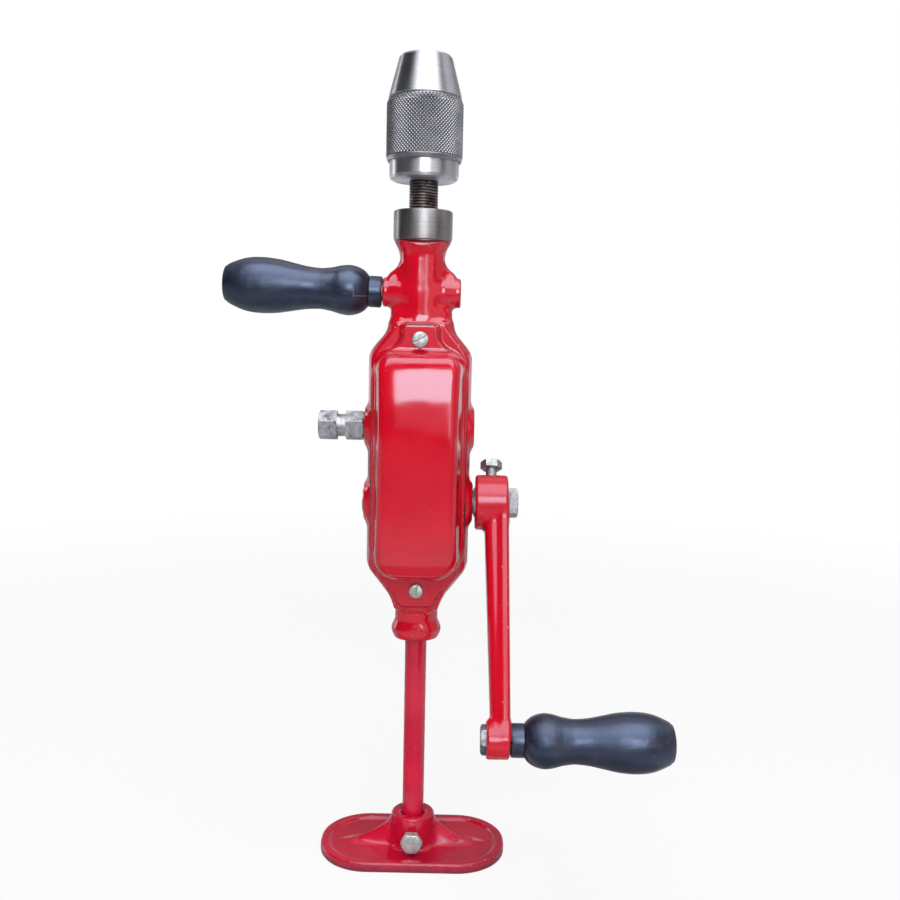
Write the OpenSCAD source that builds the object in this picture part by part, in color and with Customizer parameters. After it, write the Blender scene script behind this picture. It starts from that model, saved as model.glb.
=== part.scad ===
// Two-speed breast drill: chuck up, breast plate down, millimetres, +Z along the spindle.
// Origin: centre of the breast plate's underside, on the axis of the rod and the spindle.
// +X points to the crank side, -Y to the cover side.

/* [Breast plate] */
// Length of the breast plate, left to right
plate_l = 110; // [90:1:140]
// Depth of the breast plate, front to back
plate_w = 62; // [60:1:76]
// Corner radius of the plate outline
plate_corner_r = 29; // [16:1:30]
// Height of the plate's rounded rim
plate_rim_h = 6; // [4.5:0.25:9]
// Width of the raised lip around the dished back
plate_lip_w = 5.5; // [3:0.5:9]
// Depth of the dished back below the lip
plate_dish = 2; // [0.5:0.25:2.5]
// Outside diameter of the rod socket
socket_d = 25.4; // [22:0.1:32]
// Height of the socket mouth above the underside
socket_h = 23.4; // [20:0.2:32]
// Reach of the two gussets from the axis
gusset_reach = 43; // [30:0.5:46]
// Thickness of the gussets
gusset_t = 6; // [3:0.5:9]

/* [Breast rod] */
// Diameter of the rod between plate and case
rod_d = 12.7; // [10:0.1:15]
// Height of the case's lower end above the plate underside
case_z = 131.7; // [90:1:180]
// Length of rod held in the case
rod_grip_l = 30; // [20:1:34]

/* [Bolts] */
// Thread diameter of the two clamp bolts
bolt_d = 6.35; // [5:0.05:8]
// Width across flats of the clamp bolt heads
bolt_af = 11.1; // [9:0.1:13]
// Height of the clamp bolt heads
bolt_head_h = 4.6; // [3:0.1:7]
// Bare shank showing under the plate bolt head
bolt_proud = 3.6; // [1:0.1:6]
// Head diameter of the cover screws
screw_head_d = 9; // [6:0.1:10]
// Thread diameter of the cover screws
screw_d = 4.8; // [3:0.1:5.5]

/* [Gear case] */
// Width of the case between its side walls
case_w = 58.6; // [54:0.2:70]
// Wall of the case casting
wall = 3.8; // [3:0.1:4.5]
// Distance of the cover joint in front of the axis
split_y = 14; // [13.4:0.1:18]
// Rounding of the case's back edges
back_r = 14; // [8:0.5:16]
// Height of the lower shaft above the case's lower end
lower_rise = 80.6; // [76:0.2:96]
// Diameter of the neck at its waist
neck_d = 25.6; // [24.6:0.1:30]
// Diameter of the flange at the neck's top
neck_top_d = 32.6; // [31:0.1:38]
// Length of the neck above the upper shaft
neck_l = 104.9; // [98:0.2:120]
// Diameter of the side handle bosses on the neck
side_boss_d = 16.4; // [14:0.1:20]
// Distance of the side boss faces from the axis
side_boss_x = 22.2; // [19:0.1:27]
// Drop of the side bosses below the neck's top
side_boss_drop = 28.4; // [22:0.2:32]
// Thread diameter of the side handle stud
stud_d = 10; // [7:0.5:11]

/* [Cover] */
// Width of the border of case seen around the cover
cover_border = 2.7; // [1.5:0.1:4]
// Thickness of the cover casting
cover_t = 3; // [2:0.1:4]
// Rounding of the cover's front edges
cover_r = 5; // [4:0.5:12]
// Width of the two screw tabs
tab_w = 19; // [14:0.5:24]

/* [Gears and shafts] */
// Module of the spur wheel and pinion
spur_m = 1.5; // [1.3:0.05:1.6]
// Teeth on the spur wheel
wheel_n = 41; // [36:1:43]
// Teeth on the spur pinion
pinion_n = 17; // [17:1:20]
// Module of the bevel pair
bevel_m = 2; // [1.8:0.05:2.1]
// Teeth on the cross shaft's bevel gear
bevel_n = 24; // [22:1:24]
// Teeth on the spindle's bevel pinion
bevel_pinion_n = 16; // [14:1:16]
// Face width of the spur wheel
wheel_face = 8; // [5:0.5:10]
// Face length of the bevel teeth along the axis of the bevel pinion
bevel_face = 5.8; // [4:0.1:7]
// Diameter of the two cross shafts
shaft_d = 13; // [11:0.1:14]
// Width across flats of the driving hexagons
hex_af = 15.2; // [14.5:0.1:19]
// Length of hexagon and groove outside the case
hex_l = 26; // [22:0.5:32]
// Turn of the upper hexagon in the rest position
hex_turn = 12; // [0:1:60]
// Diameter of the spindle in its bushes
spindle_d = 14; // [11:0.1:14.6]
// Wall of the bronze bushes
bush_t = 2.6; // [1.5:0.1:3]
// Diameter of the cross pins
pin_d = 3; // [2:0.1:4]
// Diameter of the thrust balls
ball_d = 4; // [3:0.1:4.6]
// Number of thrust balls
ball_n = 14; // [8:1:15]

/* [Chuck] */
// Diameter of the threaded spindle nose
nose_thread_d = 16.6; // [15:0.1:18]
// Diameter of the bright thrust collar
collar_d = 33.4; // [31:0.1:38]
// Height of the thrust collar
collar_h = 16.6; // [13:0.1:22]
// Bare thread between collar and chuck
nose_gap = 16.6; // [8:0.2:24]
// Diameter of the knurled sleeve
sleeve_d = 43; // [42:0.1:50]
// Diameter of the chuck body
chuck_d = 39; // [38:0.1:40]
// Length of plain body behind the sleeve
rear_l = 10.1; // [6:0.1:16]
// Length of the knurled sleeve
sleeve_l = 34.5; // [33:0.1:42]
// Length of the cone in front of the sleeve
nose_l = 23.1; // [16:0.1:26]
// Diameter of the chuck's front face
nose_d = 29; // [22:0.1:30]
// Diameter of the cone where it laps over the sleeve
cone_d = 41; // [40:0.1:42]
// Diameter of the bore in the front face
mouth_d = 13.6; // [13.2:0.1:15]
// Diameter of the three jaws
jaw_d = 7.2; // [6:0.1:7.6]
// Lean of the jaws to the chuck axis
jaw_lean = 14; // [12:0.25:15]
// Diameter held by the jaws in the rest position
held_d = 8; // [6:0.1:9]
// Length of the jaws
jaw_l = 37; // [34:0.5:39]

/* [Crank] */
// Distance from the lower shaft to the grip's axis
crank_r = 134; // [100:1:170]
// Swing of the crank towards the cover side in the rest position
crank_swing = 30; // [0:1:60]
// Diameter of the crank hub
hub_d = 32; // [28:0.2:38]
// Length of the crank hub along the shaft
hub_l = 18.8; // [16:0.2:20]
// Breadth of the arm at the hub
arm_w0 = 24; // [18:0.5:27]
// Breadth of the arm at the eye
arm_w1 = 17; // [12:0.5:20]
// Thickness of the arm at the hub
arm_t0 = 13.6; // [10:0.2:16]
// Thickness of the arm at the eye
arm_t1 = 10; // [8:0.2:12]
// Diameter of the eye at the end of the arm
eye_d = 20; // [18:0.2:28]
// Length of the eye along the grip's axis
eye_l = 12.4; // [10:0.2:15]
// Diameter of the pin the grip turns on
grip_pin_d = 9; // [7:0.1:10]

/* [Handles] */
// Length of the crank grip with its collar
grip_l = 87; // [75:0.5:110]
// Largest diameter of the crank grip
grip_fat_d = 31.8; // [29:0.2:38]
// Length of the side handle with its collar
side_l = 90.4; // [75:0.5:110]
// Largest diameter of the side handle
side_fat_d = 31.6; // [28:0.2:38]
// Rise of the side handle's axis, degrees
side_tilt = 2.1; // [0:0.1:4]
// Length of the collars at the handles' roots
collar_l = 8; // [5:0.5:12]

/* [Hidden] */
$fn = 48;
hull_fn = 32;
// Clearances: running shafts, seated pieces, free space around the gears
run = 0.05;
seat = 0.03;
free = 2.2;
skin = 0.3;
eps = 0.01;
over = 1;
red = [0.80, 0.05, 0.09];
crimson = [0.66, 0.05, 0.10];
steel = [0.62, 0.63, 0.65];
zinc = [0.72, 0.72, 0.70];
dark = [0.16, 0.15, 0.14];
bronze = [0.66, 0.50, 0.28];
black = [0.06, 0.06, 0.08];
// Plate and rod
rod_z0 = plate_rim_h - plate_dish;
rod_top = case_z + rod_grip_l;
rod_hole_d = rod_d + 2 * run;
plate_bolt_z = socket_h / 2 + 0.4;
socket_fillet = 4;
gusset_drop = 5;
gusset_top = socket_h - gusset_drop;
gusset_knee = socket_d / 4 + gusset_reach / 2;
gusset_knee_z = rod_z0 + (gusset_top - rod_z0) / 3;
// Spur pair
centre = spur_m * (wheel_n + pinion_n) / 2;
lower_z = case_z + lower_rise;
upper_z = lower_z + centre;
wheel_tip = spur_m * (wheel_n / 2 + 1);
pinion_tip = spur_m * (pinion_n / 2 + 1);
pressure = 20;
backlash = 0.16;
flank_n = 4;
wheel_x1 = -1.6;
wheel_x0 = wheel_x1 - wheel_face;
pinion_lap = 0.5;
// Bevel pair: apex on the upper shaft, below the spindle
bevel_r = bevel_m * bevel_n / 2;
bevel_pinion_r = bevel_m * bevel_pinion_n / 2;
bevel_cone = sqrt(bevel_r * bevel_r + bevel_pinion_r * bevel_pinion_r);
bevel_share = bevel_face / bevel_r;
bevel_tip = bevel_pinion_r * tan(atan(bevel_r / bevel_pinion_r) + atan(bevel_m / bevel_cone));
gear_hub_r = shaft_d / 2 + 4.6;
spindle_hub_r = spindle_d / 2 + 3.6;
spindle_hub_h = 8.6;
washer_t = 1.2;
// Case: the cavity clears the gears all round
in_w = case_w / 2 - wall;
in_back = wheel_tip + free;
back_y = in_back + wall;
ceiling_z = upper_z + bevel_r + spindle_hub_h + washer_t + 3 * run;
floor_z = lower_z - wheel_tip - free;
taper_z = floor_z - wall;
taper_rise = 23;
taper_end_z = case_z + taper_rise;
taper_end_w = 13.8;
taper_tip_h = 5;
shoulder_z = ceiling_z + wall;
shoulder_h = 17.5;
shoulder_rise = 3.3;
shoulder_low = shoulder_z + shoulder_rise;
shoulder_run = 12.2;
shoulder_w = 18.7;
shoulder_end_w = shoulder_w + 1.3;
back_slope = 44;
tab_rise = 4;
pad_z = shoulder_z + shoulder_h + tab_rise;
throat_w = shoulder_w - 1.3;
neck_z = upper_z + neck_l;
neck_r = neck_d / 2;
throat_y = neck_r - 1.4;
neck_top_r = neck_top_d / 2;
neck_flare = 6;
neck_root_r = min(neck_r + 3, split_y - skin);
lower_neck_r = 12.6;
lower_bead_r = 14.5;
lower_bead_h = 9;
side_z = neck_z - side_boss_drop;
side_root_r = side_boss_d / 2 + 1.6;
side_flat = 2.5;
stud_hole_l = 11;
boss_face_x = case_w / 2 + 2.2;
boss_r = min(shaft_d / 2 + bush_t + 4, split_y - over);
boss_face_r = shaft_d / 2 + bush_t + 1.8;
bush_r = shaft_d / 2 + bush_t;
shaft_bush_l = boss_face_x - in_w;
neck_bush_r = spindle_d / 2 + bush_t;
neck_bush_l = 18;
low_bush_l = 11;
neck_relief = 0.6;
// Cover
cover_w = case_w / 2 - cover_border;
cover_in = cover_w - cover_t - cover_border;
cover_front = in_back + cover_t;
cover_top_z = pad_z - 1;
cover_low_z = taper_end_z - 1;
dome_rise = 6.5;
dome_drop = 5;
dome_top_z = shoulder_z + dome_rise;
dome_low_z = taper_z - dome_drop;
dome_draft = 1.6;
dome_top_r = 7;
dome_low_r = 10;
screw_top_rise = 12.3;
screw_low_drop = 11;
screw_top_z = shoulder_z + screw_top_rise;
screw_low_z = taper_z - screw_low_drop;
screw_l = 9;
screw_head_h = 2.6;
screw_low_head_d = screw_head_d - 1;
slot_w = 1.2;
slot_h = 1.1;
slot_turn_top = 40;
slot_turn_low = 80;
// Shaft ends
hex_r = hex_af / sqrt(3);
groove_w = 5.2;
groove_d = hex_af - 2.4;
hex_gap = 0.4;
end_proud = 0.8;
end_chamfer = 1;
hex_bevel = 0.5;
point_r = groove_w / 2 - skin;
// Thrust race on the neck and the collar above it
race_t = 2;
race_groove = 0.6;
race_r = neck_top_r - 2.6;
ball_ring_r = (spindle_d / 2 + run + race_r) / 2;
ball_z = neck_z + race_t - race_groove + ball_d / 2 + run;
groove_r = ball_d / 2 + run;
recess_z = ball_z + ball_d / 2 - race_groove + run;
collar_z = neck_z + 0.5;
collar_top = collar_z + collar_h;
recess_r = race_r + 0.5;
// Chuck
chuck_z = collar_top + nose_gap;
sleeve_z = chuck_z + rear_l;
sleeve_top = sleeve_z + sleeve_l;
chuck_top = sleeve_top + nose_l;
chuck_r = chuck_d / 2;
sleeve_r = sleeve_d / 2;
sleeve_bore = chuck_r + run;
cone_z = sleeve_top + 0.3;
cone_edge = 0.4;
nose_engage = 14;
nose_end = chuck_z + nose_engage;
jaw_r = jaw_d / 2;
jaw_bore = jaw_r + run;
closed_r = 0.9;
jaw_land = 14;
jaw_tip_closed = chuck_top + 2;
jaw_tip_rho = closed_r + jaw_r - jaw_land * tan(jaw_lean);
jaw_back = (held_d / 2 - closed_r) / sin(jaw_lean);
jaw_bore_back = 11.5;
nut_h = 7;
nut_z = sleeve_top - nut_h - 4.5;
nut_gap = 0.15;
groove_floor = 11.6;
// Crank
hub_x0 = boss_face_x + 1.6;
hub_x1 = hub_x0 + hub_l;
hub_mid = (hub_x0 + hub_x1) / 2;
eye_x1 = hub_x1 + 0.6;
eye_x0 = eye_x1 - eye_l;
hub_bolt_proud = 5.2;
flange_t = 4.2;
web_share = 0.8;
nut_af = 14;
nut_t = 3;
grip_x0 = eye_x1 + 0.5;
grip_x1 = grip_x0 + grip_l;
pin_head_d = 14;
pin_head_h = 4;
pin_sink = 3;
// Handle proportions, as shares of the fat diameter and of the length
collar_share = 0.56;
bead_share = 0.90;
waist_share = 0.73;
bead_at = 0.205;
waist_at = 0.39;
fat_at = 0.745;
cone_at = 0.87;
cone_drop = 0.08;
end_share = 0.62;
end_dome = 1.9;
stud_in_l = 40;

// Cylinder along X from x0 to x1
module xrod(r, x0, x1, fn = $fn) {
    translate([x0, 0, 0])
        rotate([0, 90, 0])
            cylinder(r = r, h = x1 - x0, $fn = fn);
}

// Cylinder along Z from z0 to z1
module zrod(r, z0, z1) {
    translate([0, 0, z0])
        cylinder(r = r, h = z1 - z0);
}

// Cylinder along -Y from y0 out to y1
module frod(r, y0, y1, fn = $fn) {
    translate([0, -y0, 0])
        rotate([90, 0, 0])
            cylinder(r = r, h = y1 - y0, $fn = fn);
}

// Slab of an X-Z outline between two depths, y0 in front of y1
module slab(y0, y1) {
    translate([0, y1, 0])
        rotate([90, 0, 0])
            linear_extrude(y1 - y0)
                children();
}

// Rounded rectangle about the origin
module round_rect(l, w, r) {
    square([l - 2 * r, w], center = true);
    square([l, w - 2 * r], center = true);
    for (x = [-1, 1], y = [-1, 1])
        translate([x * (l / 2 - r), y * (w / 2 - r)])
            circle(r);
}

// Involute gear outline: points of one flank, then every tooth
function inv_angle(rb, r) = r <= rb ? 0 : sqrt(r * r / rb / rb - 1) * 180 / PI - acos(rb / r);
function flank(n, m, thin, r) =
    90 / n + inv_angle(m * n * cos(pressure) / 2, m * n / 2) - inv_angle(m * n * cos(pressure) / 2, r)
    - thin * 90 / (PI * m * n / 2);
function tooth_r(n, m, i) = m * (n / 2 - 1.25) + i / flank_n * m * 2.25;
function gear_points(n, m, thin) = [
    for (k = [0:n - 1], s = [-1, 1], i = [0:flank_n])
        let (j = s < 0 ? i : flank_n - i, r = tooth_r(n, m, j),
             a = k * 360 / n + 90 + s * flank(n, m, thin, r))
            [r * cos(-a + 180), r * sin(-a + 180)]
];

// Bevel outline at the large end: the flank of the equivalent spur gear laid on the back cone
function bevel_points(n, rp, h, thin) = [
    for (k = [0:n - 1], s = [-1, 1], i = [0:flank_n])
        let (j = s < 0 ? i : flank_n - i, d = atan(rp / h), nv = n / cos(d), rv = tooth_r(nv, bevel_m, j),
             g = d + atan((rv - bevel_m * nv / 2) / bevel_cone), r = h * tan(g),
             a = k * 360 / n + s * flank(nv, bevel_m, thin, rv) / cos(d))
            [r * cos(-a), r * sin(-a)]
];

// Straight bevel teeth growing away from an apex at the origin along +Z, large end at z = h,
// tips trimmed by the back cone
module bevel_teeth(n, rp, h) {
    small = 1 - bevel_share;
    intersection() {
        translate([0, 0, h])
            mirror([0, 0, 1])
                linear_extrude(h * bevel_share, scale = small)
                    polygon(bevel_points(n, rp, h, backlash));
        rotate_extrude()
            polygon([[0, 0], [rp + h * h / rp, 0], [0, h + rp * rp / h]]);
    }
}

// Turned handle profile: eased curves between collar, bead, waist and fat part, a cone to a low domed end
function ease(a, b, t) = a + (b - a) * (1 - cos(180 * t)) / 2;
function handle_points(l, fat) =
    let (c = collar_share * fat / 2, b = bead_share * fat / 2, w = waist_share * fat / 2, f = fat / 2,
         e = end_share * fat / 2, x1 = bead_at * l, x2 = waist_at * l, x3 = fat_at * l, x4 = cone_at * l)
    concat(
        [[0, 0], [c, 0], [c, collar_l]],
        [for (i = [1:6]) [c + (b - c) * sin(15 * i), collar_l + (x1 - collar_l) * (1 - cos(15 * i))]],
        [for (i = [1:8]) [ease(b, w, i / 8), x1 + (x2 - x1) * i / 8]],
        [for (i = [1:8]) [ease(w, f, i / 8), x2 + (x3 - x2) * i / 8]],
        [for (i = [1:5]) let (t = i / 5) [f * (1 - cone_drop * t * t), x3 + (x4 - x3) * t]],
        [for (i = [0:4]) [e * cos(22.5 * i), l - end_dome * (1 - sin(22.5 * i))]]
    );

// Hexagon bar along +Z with its corners turned off at the ends: low and top are 1 for a turned end
module hex_bar(r, h, low, top) {
    flat = r * cos(30) - hex_bevel / 2;
    drop = (r - flat) * tan(30);
    intersection() {
        cylinder(r = r, h = h, $fn = 6);
        rotate_extrude()
            polygon([[0, 0], [low > 0 ? flat : r + eps, 0], [r + eps, low * drop], [r + eps, h - top * drop],
                     [top > 0 ? flat : r + eps, h], [0, h]]);
    }
}

// Screw head with a slot, head top towards +Z
module slotted(d, h, turn) {
    difference() {
        cylinder(d = d, h = h);
        rotate(turn)
            translate([-d, -slot_w / 2, h - slot_h])
                cube([2 * d, slot_w, slot_h + over]);
    }
}

// Breast plate: rounded slab with a lip, socket on two gussets, bore for the rod
module breast_plate() {
    color(crimson)
        difference() {
            union() {
                difference() {
                    hull()
                        for (x = [-1, 1], y = [-1, 1])
                            translate([x * (plate_l / 2 - plate_corner_r),
                                       y * (plate_w / 2 - plate_corner_r), plate_rim_h / 2])
                                rotate_extrude($fn = hull_fn)
                                    translate([plate_corner_r - plate_rim_h / 2, 0])
                                        circle(plate_rim_h / 2, $fn = 16);
                    translate([0, 0, rod_z0])
                        linear_extrude(plate_rim_h)
                            round_rect(plate_l - 2 * plate_lip_w, plate_w - 2 * plate_lip_w,
                                       plate_corner_r - plate_lip_w);
                }
                rotate_extrude()
                    polygon([[0, rod_z0 - over], [socket_d / 2 + socket_fillet, rod_z0 - over],
                             [socket_d / 2 + socket_fillet, rod_z0], [socket_d / 2 + socket_fillet / 4,
                              rod_z0 + socket_fillet / 4], [socket_d / 2, rod_z0 + socket_fillet],
                             [socket_d / 2, socket_h - end_chamfer], [socket_d / 2 - end_chamfer, socket_h],
                             [0, socket_h]]);
                intersection() {
                    slab(-gusset_t, gusset_t)
                        polygon([[-gusset_reach, rod_z0 - over], [-gusset_reach, rod_z0 + over],
                                 [-gusset_knee, gusset_knee_z], [-socket_d / 2 + over, gusset_top],
                                 [socket_d / 2 - over, gusset_top], [gusset_knee, gusset_knee_z],
                                 [gusset_reach, rod_z0 + over], [gusset_reach, rod_z0 - over]]);
                    linear_extrude(socket_h)
                        polygon([[-gusset_reach, -over], [-gusset_knee, -gusset_t / 2],
                                 [gusset_knee, -gusset_t / 2], [gusset_reach, -over], [gusset_reach, over],
                                 [gusset_knee, gusset_t / 2], [-gusset_knee, gusset_t / 2],
                                 [-gusset_reach, over]]);
                }
            }
            zrod(rod_hole_d / 2, rod_z0, socket_h + over);
            translate([0, 0, plate_bolt_z])
                frod(bolt_d / 2 + seat, 0, socket_d);
        }
}

// Hex head bolt clamping the rod in the socket, head to the front
module plate_bolt() {
    head_y = socket_d / 2 + bolt_proud;
    color(zinc)
        translate([0, 0, plate_bolt_z]) {
            frod(bolt_d / 2, rod_d / 2 + run, head_y + eps);
            translate([0, -head_y, 0])
                rotate([90, 0, 0])
                    hex_bar(bolt_af / sqrt(3), bolt_head_h, 0, 1);
        }
}

// Rod between the plate socket and the case
module breast_rod() {
    color(crimson)
        zrod(rod_d / 2, rod_z0, rod_top);
}

// Convex front outline of the case box, drawn in by an inset
module box_outline(in) {
    polygon([[-taper_end_w + in, taper_end_z + in], [taper_end_w - in, taper_end_z + in],
             [case_w / 2 - in, taper_z + in / 2], [case_w / 2 - in, shoulder_low - in / 2],
             [shoulder_end_w - in, shoulder_low + shoulder_run - in],
             [-shoulder_end_w + in, shoulder_low + shoulder_run - in],
             [-case_w / 2 + in, shoulder_low - in / 2], [-case_w / 2 + in, taper_z + in / 2]]);
}

// Cavity outline between floor and ceiling
module cavity_outline(in) {
    low = floor_z + in;
    polygon([[-in_w / 2, low - over], [in_w / 2, low - over], [in_w - in, low + over],
             [in_w - in, ceiling_z], [-in_w + in, ceiling_z], [-in_w + in, low + over]]);
}

// Side profile of the box: from the neck the top slopes down to the back, drawn in by an inset
module box_profile(in) {
    root = neck_r - in / sin(back_slope);
    deep = back_y + over;
    translate([-case_w, 0, 0])
        rotate([90, 0, 90])
            linear_extrude(2 * case_w)
                polygon([[-back_y, case_z], [deep, case_z], [deep, pad_z - (deep - root) * tan(back_slope)],
                         [root, pad_z], [-back_y, pad_z]]);
}

// Box with a rounded back, from the joint plane to the depth given
module box_body() {
    intersection() {
        hull()
            for (a = [0:15:90])
                slab(-split_y, back_y - back_r * (1 - sin(a)))
                    box_outline(back_r * (1 - cos(a)));
        box_profile(0);
    }
}

// Hollow for the gears, open to the cover
module box_cavity() {
    in_r = back_r - wall;
    intersection() {
        hull()
            for (a = [0:22.5:90])
                slab(-split_y - over, in_back - in_r * (1 - sin(a)))
                    cavity_outline(in_r * (1 - cos(a)));
        box_profile(wall);
    }
}

// Boss for one cross shaft on one side wall
module shaft_boss(side, z) {
    translate([0, 0, z])
        rotate([0, side * 90, 0])
            rotate_extrude()
                polygon([[0, in_w], [boss_r, in_w], [boss_r, case_w / 2 + over], [boss_face_r, boss_face_x],
                         [0, boss_face_x]]);
}

// Gear case: neck, side bosses, hollow box, shaft bosses, lower neck with a bead
module gear_case() {
    color(red)
        difference() {
            union() {
                difference() {
                    box_body();
                    box_cavity();
                }
                for (side = [-1, 1]) {
                    shaft_boss(side, upper_z);
                    shaft_boss(side, lower_z);
                }
                rotate_extrude()
                    polygon([[0, ceiling_z], [neck_root_r, ceiling_z], [neck_r, side_z - side_boss_d],
                             [neck_r, neck_z - neck_flare - 2], [neck_r + 1, neck_z - neck_flare],
                             [neck_top_r - 0.5, neck_z - 1.5], [neck_top_r, neck_z - 0.5],
                             [neck_top_r, neck_z], [0, neck_z]]);
                rotate_extrude()
                    polygon([[0, case_z], [lower_bead_r - 2, case_z],
                             [lower_bead_r, case_z + lower_bead_h / 4],
                             [lower_bead_r, case_z + lower_bead_h / 2],
                             [lower_neck_r, case_z + lower_bead_h],
                             [lower_neck_r, taper_end_z - taper_tip_h],
                             [lower_neck_r + 1, taper_end_z + taper_tip_h],
                             [0, taper_end_z + taper_tip_h]]);
                slab(-split_y, lower_neck_r / 2)
                    polygon([[-taper_end_w + 1, taper_end_z - taper_tip_h],
                             [taper_end_w - 1, taper_end_z - taper_tip_h],
                             [taper_end_w, taper_end_z + over], [-taper_end_w, taper_end_z + over]]);
                for (side = [-1, 1])
                    translate([0, 0, side_z])
                        rotate([0, side * 90, 0])
                            rotate_extrude()
                                polygon([[0, 0], [side_root_r, 0], [side_root_r, neck_r],
                                         [side_boss_d / 2, side_boss_x - side_flat], [side_boss_d / 2 - over,
                                          side_boss_x], [0, side_boss_x]]);
                slab(-split_y, 0)
                    polygon([[-shoulder_w, shoulder_z], [shoulder_w, shoulder_z],
                             [shoulder_w, pad_z - tab_rise], [tab_w / 2 + 1, pad_z],
                             [-tab_w / 2 - 1, pad_z], [-shoulder_w, pad_z - tab_rise]]);
                slab(-throat_y, throat_y)
                    polygon([[-shoulder_w, shoulder_z], [shoulder_w, shoulder_z],
                             [shoulder_w, pad_z - tab_rise], [throat_w, pad_z + over], [throat_w, side_z],
                             [neck_r, side_z + side_boss_d], [-neck_r, side_z + side_boss_d],
                             [-throat_w, side_z], [-throat_w, pad_z + over],
                             [-shoulder_w, pad_z - tab_rise]]);
            }
            zrod(neck_bush_r + seat, ceiling_z - over, ceiling_z + low_bush_l);
            zrod(spindle_d / 2 + neck_relief, ceiling_z, neck_z);
            zrod(neck_bush_r + seat, neck_z - neck_bush_l, neck_z + over);
            zrod(rod_d / 2 + seat, case_z - over, rod_top);
            for (z = [upper_z, lower_z])
                translate([0, 0, z])
                    xrod(bush_r + seat, -boss_face_x - over, boss_face_x + over);
            translate([0, 0, side_z])
                xrod(stud_d / 2, side_boss_x - stud_hole_l, side_boss_x + over);
            side_place()
                zrod(stud_d / 2 + seat, -stud_hole_l, stud_d);
            for (z = [screw_top_z, screw_low_z])
                translate([0, 0, z])
                    frod(screw_d / 2 + seat, split_y + cover_t - screw_l, split_y + over);
        }
}

// Outline of the cover's flange with its two tabs, drawn in by an inset
module cover_outline(in) {
    polygon([[-tab_w / 2 + in, cover_low_z + in], [tab_w / 2 - in, cover_low_z + in],
             [cover_w - in, taper_z + cover_border / 2], [cover_w - in, shoulder_z - cover_border / 2],
             [tab_w * 0.8 - in, shoulder_z + shoulder_h / 2], [tab_w / 2 - in, cover_top_z - in],
             [-tab_w / 2 + in, cover_top_z - in], [-tab_w * 0.8 + in, shoulder_z + shoulder_h / 2],
             [-cover_w + in, shoulder_z - cover_border / 2], [-cover_w + in, taper_z + cover_border / 2]]);
}

// Front outline of the cover's dome, drawn in by an inset
module dome_outline(w, in) {
    top = dome_top_z - in;
    low = dome_low_z + in;
    side = w - in;
    hull()
        for (x = [-1, 1]) {
            translate([x * (side - dome_low_r), low + dome_low_r])
                circle(dome_low_r);
            translate([x * (side - dome_top_r), top - dome_top_r])
                circle(dome_top_r);
        }
}

// Domed body of the cover: straight drafted wall, then a rounded front
module dome(front, w, r, in) {
    hull() {
        slab(-split_y - over, -split_y)
            dome_outline(w, in);
        for (a = [0:18:90])
            slab(-front + r * (1 - sin(a)), -split_y)
                dome_outline(w, in + dome_draft + r * (1 - cos(a)));
    }
}

// Cover: flange on the case rim, dome over the gears, two screw tabs
module gear_cover() {
    color(red)
        difference() {
            union() {
                slab(-split_y - cover_t, -split_y)
                    cover_outline(0);
                dome(cover_front, cover_w - cover_border / 2, cover_r, 0);
            }
            translate([0, eps, 0])
                dome(in_back, cover_w - cover_border / 2, cover_r - cover_t, cover_t);
            for (z = [screw_top_z, screw_low_z])
                translate([0, 0, z])
                    frod(screw_d / 2 + skin, 0, cover_front);
        }
}

// Slotted screw through one cover tab into the case
module cover_screw(z, head_d, turn) {
    color(zinc)
        translate([0, -split_y - cover_t, z])
            rotate([90, 0, 0]) {
                slotted(head_d, screw_head_h, turn);
                zrod(screw_d / 2, over - screw_l, eps);
            }
}

module cover_screw_top() {
    cover_screw(screw_top_z, screw_head_d, slot_turn_top);
}

module cover_screw_low() {
    cover_screw(screw_low_z, screw_low_head_d, slot_turn_low);
}

// Spindle: plain journal in the neck, threaded nose for collar and chuck
module spindle() {
    color(dark)
        difference() {
            union() {
                zrod(spindle_d / 2, upper_z + bevel_r - bevel_face, recess_z + over);
                zrod(nose_thread_d / 2, recess_z, nose_end);
            }
            pin_hole_spindle();
        }
}

module pin_hole_spindle() {
    translate([0, 0, upper_z + bevel_r + spindle_hub_h / 2])
        frod(pin_d / 2, -spindle_hub_r - over, spindle_hub_r + over);
}

// Thrust collar screwed on the spindle, its recess over the balls
module thrust_collar() {
    color(steel)
        difference() {
            rotate_extrude()
                polygon([[0, collar_z], [collar_d / 2 - 0.5, collar_z], [collar_d / 2 - 0.2, collar_z + 1],
                         [collar_d / 2, collar_top - end_chamfer], [collar_d / 2 - end_chamfer, collar_top],
                         [0, collar_top]]);
            zrod(nose_thread_d / 2 + seat, recess_z - over, collar_top + over);
            zrod(recess_r, collar_z - over, recess_z);
            translate([0, 0, ball_z])
                rotate_extrude()
                    translate([ball_ring_r, 0])
                        circle(groove_r);
        }
}

// Hardened washer on the neck with a ball groove
module thrust_race() {
    color(steel)
        difference() {
            zrod(race_r, neck_z, neck_z + race_t);
            zrod(spindle_d / 2 + neck_relief, neck_z - over, neck_z + race_t + over);
            translate([0, 0, ball_z])
                rotate_extrude()
                    translate([ball_ring_r, 0])
                        circle(groove_r);
        }
}

// Ring of thrust balls
module thrust_balls() {
    color(steel)
        for (i = [0:ball_n - 1])
            rotate(i * 360 / ball_n)
                translate([ball_ring_r, 0, ball_z])
                    sphere(ball_d / 2);
}

// Bronze bush about Z
module neck_bush(z0, l) {
    color(bronze)
        difference() {
            zrod(neck_bush_r, z0, z0 + l);
            zrod(spindle_d / 2 + run, z0 - over, z0 + l + over);
        }
}

module neck_bush_top() {
    neck_bush(neck_z - neck_bush_l, neck_bush_l);
}

module neck_bush_low() {
    neck_bush(ceiling_z, low_bush_l);
}

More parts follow.
